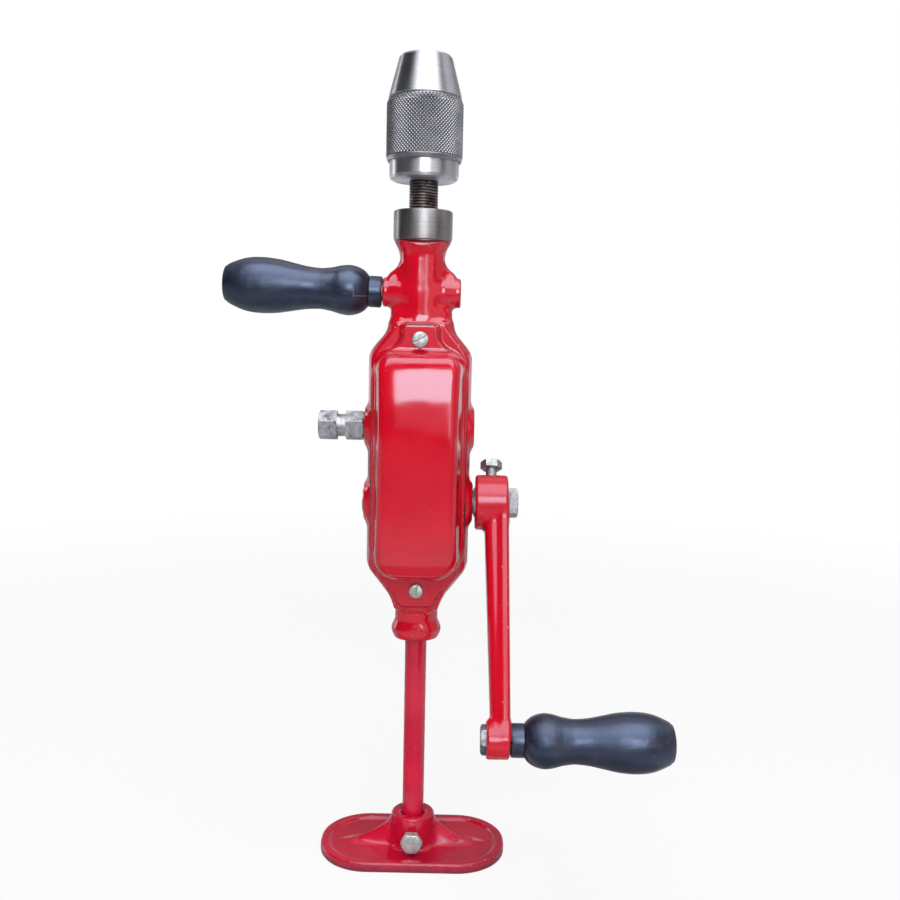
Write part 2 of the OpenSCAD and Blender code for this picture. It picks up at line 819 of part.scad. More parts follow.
// Bevel pinion on the spindle's lower end, teeth down
module bevel_pinion() {
    color(steel)
        difference() {
            translate([0, 0, upper_z]) {
                rotate(180 / bevel_pinion_n)
                    bevel_teeth(bevel_pinion_n, bevel_pinion_r, bevel_r);
                zrod(spindle_hub_r, bevel_r - eps, bevel_r + spindle_hub_h);
            }
            zrod(spindle_d / 2 + seat, upper_z, neck_z);
            pin_hole_spindle();
        }
}

// Cross pin through hub and spindle
module bevel_pinion_pin() {
    color(steel)
        translate([0, 0, upper_z + bevel_r + spindle_hub_h / 2])
            frod(pin_d / 2 - seat, -spindle_hub_r, spindle_hub_r);
}

// Washer between pinion hub and the case ceiling
module bevel_washer() {
    color(bronze)
        difference() {
            zrod(spindle_hub_r, ceiling_z - run - washer_t, ceiling_z - run);
            zrod(spindle_d / 2 + skin, upper_z, neck_z);
        }
}

// Hexagonal shaft end with a groove for the crank bolt, along +X from x0
module hex_end(x0, groove_x) {
    difference() {
        translate([x0, 0, 0])
            rotate([0, 90, 0])
                hex_bar(hex_r, hex_l, 1, 1);
        difference() {
            xrod(hex_af, groove_x - groove_w / 2, groove_x + groove_w / 2);
            xrod(groove_d / 2, groove_x - groove_w, groove_x + groove_w);
        }
    }
}

// Upper cross shaft: bevel gear and pinion inside, driving hexagon on the left
module upper_shaft() {
    color(zinc)
        translate([0, 0, upper_z])
            difference() {
                union() {
                    xrod(shaft_d / 2, -boss_face_x - over, boss_face_x - end_proud);
                    rotate([hex_turn, 0, 0])
                        mirror([1, 0, 0])
                            hex_end(boss_face_x + hex_gap, boss_face_x + hex_gap + hex_l / 2);
                }
                gear_pin_hole((bevel_pinion_r + in_w) / 2);
                gear_pin_hole(pinion_pin_x());
            }
}

function pinion_pin_x() = wheel_x0 - pinion_lap - pin_d * 1.6;
function wheel_pin_x() = (wheel_x0 - in_w) / 2;

// Hole for a cross pin at one place along a shaft on the X axis
module gear_pin_hole(x) {
    translate([x, 0, 0])
        frod(pin_d / 2, -gear_hub_r - over, gear_hub_r + over);
}

module gear_pin(x, z) {
    color(steel)
        translate([x, 0, z])
            frod(pin_d / 2 - seat, -gear_hub_r, gear_hub_r);
}

// Bevel gear on the upper shaft, teeth to the left
module bevel_gear() {
    color(steel)
        translate([0, 0, upper_z])
            difference() {
                union() {
                    rotate([0, 90, 0])
                        rotate(180)
                            bevel_teeth(bevel_n, bevel_r, bevel_pinion_r);
                    xrod(gear_hub_r, bevel_pinion_r - eps, in_w - skin);
                }
                xrod(shaft_d / 2 + seat, 0, case_w);
                gear_pin_hole((bevel_pinion_r + in_w) / 2);
            }
}

module bevel_gear_pin() {
    gear_pin((bevel_pinion_r + in_w) / 2, upper_z);
}

// Spur pinion on the upper shaft, hub to the left
module spur_pinion() {
    color(steel)
        translate([0, 0, upper_z])
            difference() {
                union() {
                    translate([wheel_x0 - pinion_lap, 0, 0])
                        rotate([90, 0, 90])
                            linear_extrude(wheel_face + 2 * pinion_lap)
                                polygon(gear_points(pinion_n, spur_m, backlash / 2));
                    xrod(gear_hub_r - over, pinion_pin_x() - pin_d * 1.6, wheel_x0);
                }
                xrod(shaft_d / 2 + seat, -case_w, case_w);
                gear_pin_hole(pinion_pin_x());
            }
}

module spur_pinion_pin() {
    color(steel)
        translate([pinion_pin_x(), 0, upper_z])
            frod(pin_d / 2 - seat, over - gear_hub_r, gear_hub_r - over);
}

// Bronze bush about X in one shaft boss
module shaft_bush(side, z) {
    color(bronze)
        translate([0, 0, z])
            rotate([0, side * 90, 0])
                difference() {
                    zrod(bush_r, in_w, boss_face_x);
                    zrod(shaft_d / 2 + run, 0, case_w);
                }
}

module upper_bush_left() {
    shaft_bush(-1, upper_z);
}

module upper_bush_right() {
    shaft_bush(1, upper_z);
}

module lower_bush_left() {
    shaft_bush(-1, lower_z);
}

module lower_bush_right() {
    shaft_bush(1, lower_z);
}

// Everything on the lower shaft turns with the crank
module crank_place() {
    translate([0, 0, lower_z])
        rotate([-crank_swing, 0, 0])
            children();
}

// Lower cross shaft: spur wheel inside, crank on the right
module lower_shaft() {
    color(zinc)
        crank_place()
            difference() {
                union() {
                    xrod(shaft_d / 2, -boss_face_x - end_proud, boss_face_x + over);
                    rotate([30, 0, 0])
                        hex_end(boss_face_x + hex_gap, hub_mid);
                }
                gear_pin_hole(wheel_pin_x());
            }
}

// Spur wheel with a long hub to the left bush
module spur_wheel() {
    color(steel)
        translate([0, 0, lower_z])
            difference() {
                union() {
                    translate([wheel_x0, 0, 0])
                        rotate([90, 0, 90])
                            linear_extrude(wheel_face)
                                polygon(gear_points(wheel_n, spur_m, backlash / 2));
                    xrod(gear_hub_r, skin - in_w, wheel_x0 + eps);
                }
                xrod(shaft_d / 2 + seat, -case_w, case_w);
                rotate([-crank_swing, 0, 0])
                    gear_pin_hole(wheel_pin_x());
            }
}

module spur_wheel_pin() {
    color(steel)
        crank_place()
            translate([wheel_pin_x(), 0, 0])
                frod(pin_d / 2 - seat, -gear_hub_r, gear_hub_r);
}

// Places one jaw bore: axis leaning in towards the front, local +Z along the jaw to its tip
module jaw_place(i) {
    translate([0, 0, jaw_tip_closed])
        rotate(i * 120 + 90)
            translate([jaw_tip_rho, 0, 0])
                rotate([0, -jaw_lean, 0])
                    children();
}

// Chuck body: rear ring, groove for the nut, cone with three leaning jaw bores
module chuck_body() {
    color(steel)
        difference() {
            rotate_extrude()
                polygon([[0, chuck_z], [chuck_r - 2.2, chuck_z], [chuck_r - 0.6, chuck_z + 0.8],
                         [chuck_r, chuck_z + 2.4], [chuck_r, nut_z - nut_gap],
                         [groove_floor, nut_z - nut_gap], [groove_floor, nut_z + nut_h + nut_gap],
                         [chuck_r, nut_z + nut_h + nut_gap], [chuck_r, cone_z],
                         [cone_d / 2 - cone_edge, cone_z], [cone_d / 2, cone_z + cone_edge],
                         [nose_d / 2 + 0.4, chuck_top - 1.2], [nose_d / 2 - 0.8, chuck_top],
                         [0, chuck_top]]);
            zrod(nose_thread_d / 2 + seat, chuck_z - over, nose_end + over);
            zrod(mouth_d / 2, nut_z, chuck_top + over);
            for (i = [0:2])
                jaw_place(i)
                    zrod(jaw_bore, -jaw_l - jaw_back - jaw_bore_back, jaw_l);
        }
}

// Knurled sleeve turning on the body
module chuck_sleeve() {
    color(zinc)
        difference() {
            rotate_extrude()
                polygon([[0, sleeve_z], [sleeve_r - 1, sleeve_z], [sleeve_r, sleeve_z + 1.2],
                         [sleeve_r, sleeve_top - 3.4], [chuck_r + 0.8, sleeve_top], [0, sleeve_top]]);
            zrod(sleeve_bore, sleeve_z - over, sleeve_top + over);
        }
}

// Nut pressed in the sleeve, its cone riding on the backs of the jaws
module chuck_nut() {
    cone_low = jaw_rho(nut_z) + jaw_r / cos(jaw_lean) + skin;
    cone_top = jaw_rho(nut_z + nut_h) + jaw_r / cos(jaw_lean) + skin;
    color(bronze)
        rotate_extrude()
            polygon([[max(cone_low, groove_floor + skin), nut_z], [sleeve_bore - seat, nut_z],
                     [sleeve_bore - seat, nut_z + nut_h],
                     [max(cone_top, groove_floor + skin), nut_z + nut_h]]);
}

function jaw_rho(z) = jaw_tip_rho + (jaw_tip_closed - z) * tan(jaw_lean);

// One jaw: leaning round bar with a wedge tip and a hollow face parallel to the chuck axis
module chuck_jaw(i) {
    tip_z = jaw_tip_closed - jaw_back * cos(jaw_lean);
    in_r = held_d / 2;
    color(steel)
        difference() {
            intersection() {
                jaw_place(i)
                    zrod(jaw_r, -jaw_back - jaw_l, over);
                translate([0, 0, tip_z - jaw_l])
                    rotate(i * 120 + 90)
                        linear_extrude(jaw_l)
                            polygon([[in_r - closed_r, 0], [chuck_d, chuck_d * tan(60)],
                                     [chuck_d, -chuck_d * tan(60)]]);
            }
            zrod(in_r, chuck_z, chuck_top + jaw_l);
        }
}

module chuck_jaw_1() {
    chuck_jaw(0);
}

module chuck_jaw_2() {
    chuck_jaw(1);
}

module chuck_jaw_3() {
    chuck_jaw(2);
}

// Crank arm: round hub with a hexagonal bore, arm with an outer flange, eye for the grip pin
module crank_arm() {
    color(red)
        crank_place()
            difference() {
                union() {
                    xrod(hub_d / 2, hub_x0, hub_x1);
                    translate([0, 0, -crank_r])
                        xrod(eye_d / 2, eye_x0, eye_x1);
                    hull() {
                        xrod(arm_w0 / 2, hub_x1 - flange_t, hub_x1, hull_fn);
                        translate([0, 0, -crank_r])
                            xrod(arm_w1 / 2, eye_x1 - flange_t, eye_x1, hull_fn);
                    }
                    hull() {
                        xrod(arm_w0 * web_share / 2, hub_x1 - arm_t0, hub_x1 - over, hull_fn);
                        translate([0, 0, -crank_r])
                            xrod(arm_w1 * web_share / 2, eye_x1 - arm_t1, eye_x1 - over, hull_fn);
                    }
                }
                rotate([30, 0, 0])
                    xrod(hex_r + skin, hub_x0 - over, eye_x1 + over, 6);
                translate([hub_mid, 0, 0])
                    zrod(bolt_d / 2 + seat, 0, hub_d);
                translate([0, 0, -crank_r])
                    xrod(grip_pin_d / 2 + seat, eye_x0 - over, eye_x1 + over);
            }
}

// Hex head bolt in the hub, its point in the shaft groove
module crank_bolt() {
    head_z = hub_d / 2 + hub_bolt_proud;
    color(zinc)
        crank_place()
            translate([hub_mid, 0, 0]) {
                zrod(point_r, groove_d / 2 + run, hub_d / 2);
                zrod(bolt_d / 2, hex_af / 2 + skin, head_z + eps);
                translate([0, 0, head_z])
                    hex_bar(bolt_af / sqrt(3), bolt_head_h, 0, 1);
            }
}

// Pin through the eye, slotted head sunk in the grip's end
module grip_pin() {
    color(zinc)
        crank_place()
            translate([0, 0, -crank_r]) {
                xrod(grip_pin_d / 2, eye_x0 - nut_t, grip_x1 - pin_sink - pin_head_h + eps);
                translate([grip_x1 - pin_sink - pin_head_h, 0, 0])
                    rotate([0, 90, 0])
                        slotted(pin_head_d, pin_head_h, 0);
            }
}

// Thin hexagon nut locking the pin in the eye
module grip_lock_nut() {
    color(zinc)
        crank_place()
            translate([0, 0, -crank_r])
                difference() {
                    translate([eye_x0 - nut_t, 0, 0])
                        rotate([0, 90, 0])
                            hex_bar(nut_af / sqrt(3), nut_t, 1, 0);
                    xrod(grip_pin_d / 2 + seat, eye_x0 - nut_t - over, eye_x0 + over);
                }
}

// Turned grip running on the pin
module crank_grip() {
    color(black)
        crank_place()
            translate([grip_x0, 0, -crank_r])
                rotate([0, 90, 0])
                    difference() {
                        rotate_extrude()
                            polygon(handle_points(grip_l, grip_fat_d));
                        zrod(grip_pin_d / 2 + run, -over, grip_l);
                        zrod(pin_head_d / 2 + skin, grip_l - pin_sink - pin_head_h - 2 * run, grip_l + over);
                    }
}

// Places the side handle: local +Z along its axis, away from the neck
module side_place() {
    translate([-side_boss_x, 0, side_z])
        rotate([0, side_tilt - 90, 0])
            children();
}

// Threaded stud from the neck boss into the side grip
module side_stud() {
    color(steel)
        side_place()
            zrod(stud_d / 2, over - stud_hole_l, stud_in_l);
}

// Turned side handle
module side_grip() {
    color(black)
        side_place()
            translate([0, 0, skin + side_boss_d / 2 * sin(side_tilt)])
                difference() {
                    rotate_extrude()
                        polygon(handle_points(side_l, side_fat_d));
                    zrod(stud_d / 2 + seat, -over, stud_in_l + seat);
                }
}

breast_plate();
plate_bolt();
breast_rod();
gear_case();
gear_cover();
cover_screw_top();
cover_screw_low();
spindle();
thrust_collar();
thrust_race();
thrust_balls();
neck_bush_top();
neck_bush_low();
bevel_pinion();
bevel_pinion_pin();
bevel_washer();
upper_shaft();
bevel_gear();
bevel_gear_pin();
spur_pinion();
spur_pinion_pin();
upper_bush_left();
upper_bush_right();
lower_shaft();
spur_wheel();
spur_wheel_pin();
lower_bush_left();
lower_bush_right();
chuck_body();
chuck_sleeve();
chuck_nut();
chuck_jaw_1();
chuck_jaw_2();
chuck_jaw_3();
crank_arm();
crank_bolt();
grip_pin();
grip_lock_nut();
crank_grip();
side_stud();
side_grip();
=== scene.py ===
import functools
import math
import bpy
import numpy as np
from mathutils import Matrix, Vector


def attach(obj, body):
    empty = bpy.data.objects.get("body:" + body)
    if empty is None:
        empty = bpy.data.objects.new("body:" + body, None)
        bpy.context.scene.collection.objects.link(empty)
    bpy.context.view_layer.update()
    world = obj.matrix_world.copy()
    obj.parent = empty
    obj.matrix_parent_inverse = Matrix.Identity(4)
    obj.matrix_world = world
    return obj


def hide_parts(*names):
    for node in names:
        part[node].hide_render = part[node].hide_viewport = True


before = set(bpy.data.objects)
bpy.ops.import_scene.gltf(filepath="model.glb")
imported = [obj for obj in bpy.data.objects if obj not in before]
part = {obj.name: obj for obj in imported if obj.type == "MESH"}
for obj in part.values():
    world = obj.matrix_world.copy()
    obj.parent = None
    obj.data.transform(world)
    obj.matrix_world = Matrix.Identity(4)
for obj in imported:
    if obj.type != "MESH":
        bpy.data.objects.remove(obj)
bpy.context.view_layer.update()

# Breast plate: an iron casting with a rounded rim, a dished back, two pointed gussets and a bored
# socket for the rod, covered in crimson enamel. A hex head bolt in the socket grips the rod.
MM = 0.001
PLATE_L, PLATE_W, PLATE_CORNER = 110.0, 62.0, 29.0
PLATE_RIM, PLATE_LIP, PLATE_DISH = 6.0, 5.5, 2.0
SOCKET_R, SOCKET_H, SOCKET_MOUTH = 12.7, 23.4, 1.9
GUSSET_REACH, GUSSET_TOP, GUSSET_FOOT, GUSSET_CREST = 43.0, 18.4, 5.6, 1.6
GUSSET_SAG, GUSSET_SWELL, GUSSET_EASE, CREST_EASE = 1.7, 2.2, 0.85, 0.8
ROD_R, PLATE_BOLT_Z, BOLT_R, BORE_GAP = 6.35, 12.1, 3.175, 0.05
DRAW_ROUNDS, DRAW_H, NORMAL_H, EDGE_WIDE = 3, 0.05, 0.12, 1.2


def both(*forms):
    """What forms share, with sharp corners."""
    return functools.reduce(np.maximum, forms)


def either(*forms):
    """Forms laid together, with sharp corners."""
    return functools.reduce(np.minimum, forms)


def meet(a, b, r):
    """What two forms share, with the corner between them rounded to r."""
    return np.minimum(-r, np.maximum(a, b)) + np.hypot(np.maximum(a + r, 0), np.maximum(b + r, 0))


def join(a, b, r):
    """Two forms run together, with a fillet of r between them."""
    return np.maximum(r, np.minimum(a, b)) - np.hypot(np.maximum(r - a, 0), np.maximum(r - b, 0))


def round_box(u, v, half, low, high, r):
    """Distance from a rounded rectangle: that half-width across u, from low to high along v."""
    middle, rise = (low + high) / 2, (high - low) / 2
    pu, pv = abs(u) - half + r, abs(v - middle) - rise + r
    return np.hypot(np.maximum(pu, 0), np.maximum(pv, 0)) + np.minimum(np.maximum(pu, pv), 0) - r


def slope(field, p, h):
    """Gradient of a form's distance field at the points p, by central differences over h."""
    steps = np.eye(3) * h
    return np.stack([(field(*(p + s).T) - field(*(p - s).T)) / (2 * h) for s in steps], axis=1)


def shown(name, mesh):
    """A piece of the object with its place in its mesh."""
    piece = bpy.data.objects.new(name, mesh)
    bpy.context.collection.objects.link(piece)
    return piece


def cast(name, field, low, high, step, place=None):
    """Skin of a casting given by its distance field in mm: quads on a grid of that step, drawn onto
    the form, with the form's own normals and a measure of its outer edges in the attribute edge."""
    axes = [np.arange(a, b + step, step) for a, b in zip(low, high)]
    count = [len(a) for a in axes]
    values = field(axes[0][:, None, None], axes[1][None, :, None], axes[2][None, None, :])
    values = np.broadcast_to(values, count)
    inside = values < 0
    corners = [(i, j, k) for i in (0, 1) for j in (0, 1) for k in (0, 1)]
    filled = sum(inside[i:count[0] - 1 + i, j:count[1] - 1 + j, k:count[2] - 1 + k].astype(np.int8)
                 for i, j, k in corners)
    # One point in each cell that the form's skin goes through, in the middle of its crossings
    cells = np.argwhere((filled > 0) & (filled < len(corners)))
    number = np.full([n - 1 for n in count], -1)
    number[tuple(cells.T)] = np.arange(len(cells))
    at = np.stack([values[tuple((cells + c).T)] for c in corners], axis=1)
    total, hits = np.zeros((len(cells), 3)), np.zeros(len(cells))
    for a in range(len(corners)):
        for d in (1, 2, 4):
            if a & d:
                continue
            b = a | d
            cut = (at[:, a] < 0) != (at[:, b] < 0)
            t = np.where(cut, at[:, a] / np.where(cut, at[:, a] - at[:, b], 1), 0)[:, None]
            pa, pb = np.array(corners[a], float), np.array(corners[b], float)
            total += cut[:, None] * (pa + t * (pb - pa))
            hits += cut
    points = np.array(low) + step * (cells + total / hits[:, None])
    # One quad round each grid edge that crosses the skin
    quads = []
    for d in range(3):
        u, v = (d + 1) % 3, (d + 2) % 3
        here, ahead = [slice(None)] * 3, [slice(None)] * 3
        here[d], ahead[d] = slice(None, -1), slice(1, None)
        edge = np.argwhere(inside[tuple(here)] != inside[tuple(ahead)])
        within = [(edge[:, w] > 0) & (edge[:, w] < count[w] - 1) for w in (u, v)]
        edge = edge[within[0] & within[1]]
        du, dv = np.eye(3, dtype=int)[u], np.eye(3, dtype=int)[v]
        ring = np.stack([number[tuple((edge - s).T)] for s in (du + dv, dv, 0 * du, du)], axis=1)
        out = inside[tuple(edge.T)]
        quads.append(np.where(out[:, None], ring, ring[:, ::-1]))
    quads = np.concatenate(quads)
    # The points go onto the form, half a step at a time at most
    for _ in range(DRAW_ROUNDS):
        g = slope(field, points, DRAW_H)
        move = -field(*points.T)[:, None] * g / np.maximum((g * g).sum(1), 0.1)[:, None]
        far = np.linalg.norm(move, axis=1)[:, None]
        points = points + move * np.minimum(1, 0.5 * step / np.maximum(far, 1e-6))
    g = slope(field, points, NORMAL_H)
    normals = g / np.maximum(np.linalg.norm(g, axis=1), 1e-6)[:, None]
    bend = sum(field(*(points + s).T) + field(*(points - s).T) for s in np.eye(3) * EDGE_WIDE)
    bend = np.clip((bend - 6 * field(*points.T)) / EDGE_WIDE, 0, 1)
    if place is not None:
        turn = np.array(place)
        points = points @ turn[:3, :3].T + turn[:3, 3]
        normals = normals @ turn[:3, :3].T
    mesh = bpy.data.meshes.new(name)
    mesh.from_pydata((points * MM).tolist(), [], quads.tolist())
    mesh.attributes.new("edge", "FLOAT", "POINT").data.foreach_set("value", bend.astype(np.float32))
    mesh.shade_smooth()
    mesh.normals_split_custom_set_from_vertices(normals.tolist())
    return shown(name, mesh)


def settle(piece, material, body, finish, *nodes):
    """Finishes a piece: its material, the body it moves with, and the solids it stands for."""
    piece.data.materials.clear()
    piece.data.materials.append(material)
    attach(piece, body)
    if nodes:
        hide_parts(*nodes)


def dress(material, *names):
    """Gives solids that keep their shape a material."""
    for name in names:
        part[name].data.materials.clear()
        part[name].data.materials.append(material)


def feed(made, sockets):
    """Gives each of these sockets of a node a value or a link."""
    for key, value in sockets.items():
        if isinstance(value, bpy.types.NodeSocket):
            made.id_data.links.new(value, made.inputs[key])
        else:
            made.inputs[key].default_value = value


def node(owner, kind, sockets=None, family="ShaderNode", **settings):
    """A new node in the tree that a node or socket belongs to: its settings, then its sockets."""
    made = owner.id_data.nodes.new(family + kind)
    for key, value in settings.items():
        setattr(made, key, value)
    feed(made, sockets or {})
    return made


def gathered(kind, values, **settings):
    """What a new node makes of values, some of which are sockets."""
    owner = next(v for v in values if isinstance(v, bpy.types.NodeSocket))
    return node(owner, kind, dict(enumerate(values)), **settings).outputs[0]


def sums(operation, *values):
    """A sum on numbers in a tree."""
    return gathered("Math", values, operation=operation)


def times(first, second):
    """The product of two numbers in a tree."""
    return sums("MULTIPLY", first, second)


def shader(name):
    """A new material, its surface shader and the place on the piece."""
    material = bpy.data.materials.new(name)
    material.use_nodes = True
    surface = material.node_tree.nodes["Principled BSDF"]
    return material, surface, node(surface, "TexCoord").outputs["Object"]


def grain(place, size, detail=2.0, stretch=(1, 1, 1), rough=0.5):
    """Cloudy variation with forms of about that size in mm, drawn out by stretch."""
    scale = node(place, "Mapping", {"Vector": place, "Scale": [1 / s for s in stretch]})
    return node(place, "TexNoise", {"Vector": scale.outputs[0], "Scale": 1 / (size * MM),
                "Detail": detail, "Roughness": rough}).outputs["Fac"]


def spread(value, low, high, out_low=0.0, out_high=1.0):
    """Stretches a value between two limits."""
    return gathered("MapRange", (value, low, high, out_low, out_high))


def blended(share, first, second):
    """Colour between two colours."""
    ends = [c if isinstance(c, bpy.types.NodeSocket) else (*c, 1) for c in (first, second)]
    return node(share, "Mix", {0: share, 6: ends[0], 7: ends[1]}, data_type="RGBA").outputs[2]


def relief(surface, height, depth, under=None):
    """Small relief of that depth in mm on a surface, laid over another one."""
    sockets = {"Height": height, "Distance": depth * MM, "Strength": 1.0}
    if under is not None:
        sockets["Normal"] = under
    normal = node(surface, "Bump", sockets).outputs[0]
    feed(surface, {"Normal": normal})
    return normal


def enamel(name, bright, deep, gloss, index=1.7, foot=0.0):
    """Thick air-dried enamel: a little uneven, thin on the edges, with chips and dust in it, and painted
    shade on the faces that don't face up, below the height of a foot."""
    material, surface, place = shader(name)
    colour = blended(spread(grain(place, 34, 3), 0.35, 0.65), bright, deep)
    edge = node(place, "Attribute", attribute_name="edge").outputs["Fac"]
    thin = times(spread(edge, 0.2, 0.9), 0.35)
    colour = blended(thin, colour, (bright[0] * 0.62, bright[1] * 0.8, bright[2] * 0.8))
    chips = spread(grain(place, 1.7, 4), 0.66, 0.69)
    worn = times(spread(edge, 0.25, 0.7), chips)
    colour = blended(worn, colour, (0.36, 0.22, 0.21))
    dust = times(spread(grain(place, 0.9, 1), 0.745, 0.765), spread(grain(place, 14, 2), 0.52, 0.6))
    colour = blended(dust, colour, (0.55, 0.16, 0.17))
    rough = spread(grain(place, 9, 4), 0.3, 0.7, gloss, gloss + 0.05)
    rough = sums("ADD", rough, times(worn, 0.3))
    # Painted shade: below the height of a foot, faces that don't face up are darkened to a deep red and made
    # rougher, with a cloudy upper edge.
    if foot:
        height = node(place, "SeparateXYZ", {0: place}).outputs[2]
        cloud = spread(grain(place, 5, 4), 0.3, 0.7, -1.2 * MM, 1.2 * MM)
        painted_shade = spread(sums("ADD", height, cloud), foot * MM, 0.35 * foot * MM, 0.0, 0.7)
        facing = node(place, "TexCoord").outputs["Normal"]
        upright = spread(node(place, "SeparateXYZ", {0: facing}).outputs[2], 0.85, 0.4)
        painted_shade = times(painted_shade, upright)
        colour = blended(painted_shade, colour, (0.10, 0.004, 0.010))
        rough = sums("ADD", rough, times(painted_shade, 0.5))
    feed(surface, {"Base Color": colour, "Roughness": rough, "IOR": index,
                   "Specular Tint": (0.47, 0.86, 1.0, 1)})
    swell = relief(surface, grain(place, 46, 0), 0.9)
    waves = relief(surface, grain(place, 13, 2), 0.07, swell)
    peel = relief(surface, grain(place, 1.6, 2), 0.006, waves)
    relief(surface, sums("SUBTRACT", dust, worn), 0.05, peel)
    return material


def plate_form(x, y, z):
    """Breast plate about the rod's axis; an ease keeps a leaning face near its true distance."""
    floor = PLATE_RIM - PLATE_DISH
    edge = round_box(x, y, PLATE_L / 2, -PLATE_W / 2, PLATE_W / 2, PLATE_CORNER)
    slab = meet(edge, abs(z - PLATE_RIM / 2) - PLATE_RIM / 2, 1.5)
    slab = meet(slab, -meet(edge + PLATE_LIP, floor - z, 1.7), 1.3)
    out = np.clip((abs(x) - SOCKET_R) / (GUSSET_REACH - SOCKET_R), 0, 1)
    tall = floor + (GUSSET_TOP - floor) * (1 - out) ** GUSSET_SAG
    foot = GUSSET_FOOT * np.sqrt(1 - out ** GUSSET_SWELL)
    crest = GUSSET_CREST * (1 - out)
    rise = np.clip((z - floor) / np.maximum(tall - floor, 0.5), 0, 1)
    rib = meet((abs(y) - foot + (foot - crest) * rise) * GUSSET_EASE, (z - tall) * CREST_EASE, 1.2)
    rib = both(rib, abs(x) - GUSSET_REACH, 1 - z)
    reach = np.hypot(x, y)
    socket = both(meet(reach - SOCKET_R, z - SOCKET_H, 1.5), 1 - z)
    body = join(join(slab, rib, 1.8), socket, 3.4)
    bore = both(reach - ROD_R - BORE_GAP, floor - z)
    mouth = (reach - ROD_R - SOCKET_MOUTH + (SOCKET_H - z)) * math.sqrt(0.5)
    bolt = both(np.hypot(x, z - PLATE_BOLT_Z) - BOLT_R - BORE_GAP, y)
    return meet(both(body, -bolt, -z), -either(bore, mouth), 0.4)


# The plate's enamel carries painted shade on its side faces up to 6.2 mm high.
crimson = enamel("crimson_enamel", (0.62, 0.0055, 0.036), (0.46, 0.0040, 0.027), 0.15, 1.55, 6.2)
plate = cast("breast_plate_casting", plate_form, (-56, -32, -1), (56, 32, 24.6), 0.75)
settle(plate, crimson, "breast_plate", "crimson_enamel", "breast_plate")


def zinc_plate(name, pale, dull, rough):
    """Zinc plate gone cloudy: spangled, with dull patches and brown in the dirt."""
    material, surface, place = shader(name)
    cells = node(place, "TexVoronoi", {"Vector": place, "Scale": 1 / (1.7 * MM)}).outputs["Color"]
    spangle = node(place, "SeparateColor", {0: cells}).outputs[0]
    cloud = spread(grain(place, 5, 5, rough=0.65), 0.38, 0.62)
    share = sums("ADD", times(spangle, 0.3), cloud)
    colour = blended(spread(share, 0.1, 1.1), dull, pale)
    stain = spread(grain(place, 6, 6, rough=0.75), 0.54, 0.66)
    colour = blended(times(stain, 0.75), colour, (0.13, 0.11, 0.10))
    feed(surface, {"Base Color": colour, "Metallic": 1.0,
                   "Roughness": spread(share, 0.0, 1.3, rough + 0.14, rough - 0.05)})
    relief(surface, grain(place, 0.8, 3), 0.02)
    return material


bolt_zinc = zinc_plate("bright_zinc", (0.66, 0.70, 0.69), (0.44, 0.47, 0.46), 0.50)
dress(bolt_zinc, "plate_bolt")

# Breast rod: a length of drawn steel bar, chamfered at both ends and painted in place with the plate.
# It is a fixed fit in the case and swivels in the plate's socket.
ROD_LOW, ROD_TOP, ROD_CHAMFER, ROD_RINGS = 4.0, 161.7, 1.0, (60.0, 110.0)


def turned(name, profile, place=None, steps=128, sharp=28.0, ring=False):
    """Piece turned on a lathe: (radius, height) pairs in mm about Z, closed on the axis or as a ring."""
    angles = np.arange(steps) * 2 * math.pi / steps
    points, rows = [], []
    for r, z in profile:
        if r == 0:
            rows.append([len(points)] * steps)
            points.append((0, 0, z))
        else:
            rows.append(list(range(len(points), len(points) + steps)))
            points.extend((r * math.cos(a), r * math.sin(a), z) for a in angles)
    if ring:
        rows.append(rows[0])
    faces = []
    for low, high in zip(rows, rows[1:]):
        for i in range(steps):
            j = (i + 1) % steps
            face = [low[i], low[j], high[j], high[i]]
            face = [v for k, v in enumerate(face) if v not in face[:k]]
            if len(face) > 2:
                faces.append(face)
    turn = place if place is not None else Matrix()
    mesh = bpy.data.meshes.new(name)
    mesh.from_pydata([(turn @ Vector(p)) * MM for p in points], [], faces)
    mesh.shade_smooth()
    mesh.set_sharp_from_angle(angle=math.radians(sharp))
    return shown(name, mesh)


rod_line = [(0, ROD_LOW), (ROD_R - ROD_CHAMFER, ROD_LOW), (ROD_R, ROD_LOW + ROD_CHAMFER)]
rod_line += [(ROD_R, z) for z in ROD_RINGS]
rod_line += [(ROD_R, ROD_TOP - ROD_CHAMFER), (ROD_R - ROD_CHAMFER, ROD_TOP), (0, ROD_TOP)]
rod = turned("breast_rod_bar", rod_line)
settle(rod, crimson, "frame", "crimson_enamel", "breast_rod")

# Gear case: a hollow iron casting in red enamel. Box with a rounded back, round neck for the spindle with
# two handle bosses, four bosses bored for the shaft bushes, lower neck with a bead for the rod.
CASE_W, CASE_WALL, JOINT_Y, CASE_BACK, BACK_R, CASE_DRAFT, DRAFT_Y = 29.3, 3.8, -14.0, 38.25, 14.0, 2.2, -5.0
CASE_LOW, TAPER_END_Z, TAPER_W, TAPER_SLOPE, TIP_DROP = 131.7, 154.6, 13.6, 0.79, 5.0
SHOULDER_LOW, SHOULDER_TOP, SHOULDER_LEAN, BOX_TOP = 295.0, 315.5, 0.84, 316.0
PAD_Z, BACK_RUN, LOW_BACK_Y, LOW_BACK_Z, LOW_BACK_RUN = 315.05, 1.0355, 16.0, 158.0, 1.35
BROW_Z, BROW_Y, BROW_RUN, BROW_SPAN = 313.0, -12.0, 0.8, 1.5
FLOOR_Z, CEILING_Z, CEILING_HOLE, NECK_Z, NECK_R, NECK_TOP_R = 177.85, 289.75, 2.0, 360.7, 12.8, 16.3
FLARE_Z, FLARE_H, FLARE_CURVE, FLARE_EASE = 351.5, 9.2, 1.8, 0.95
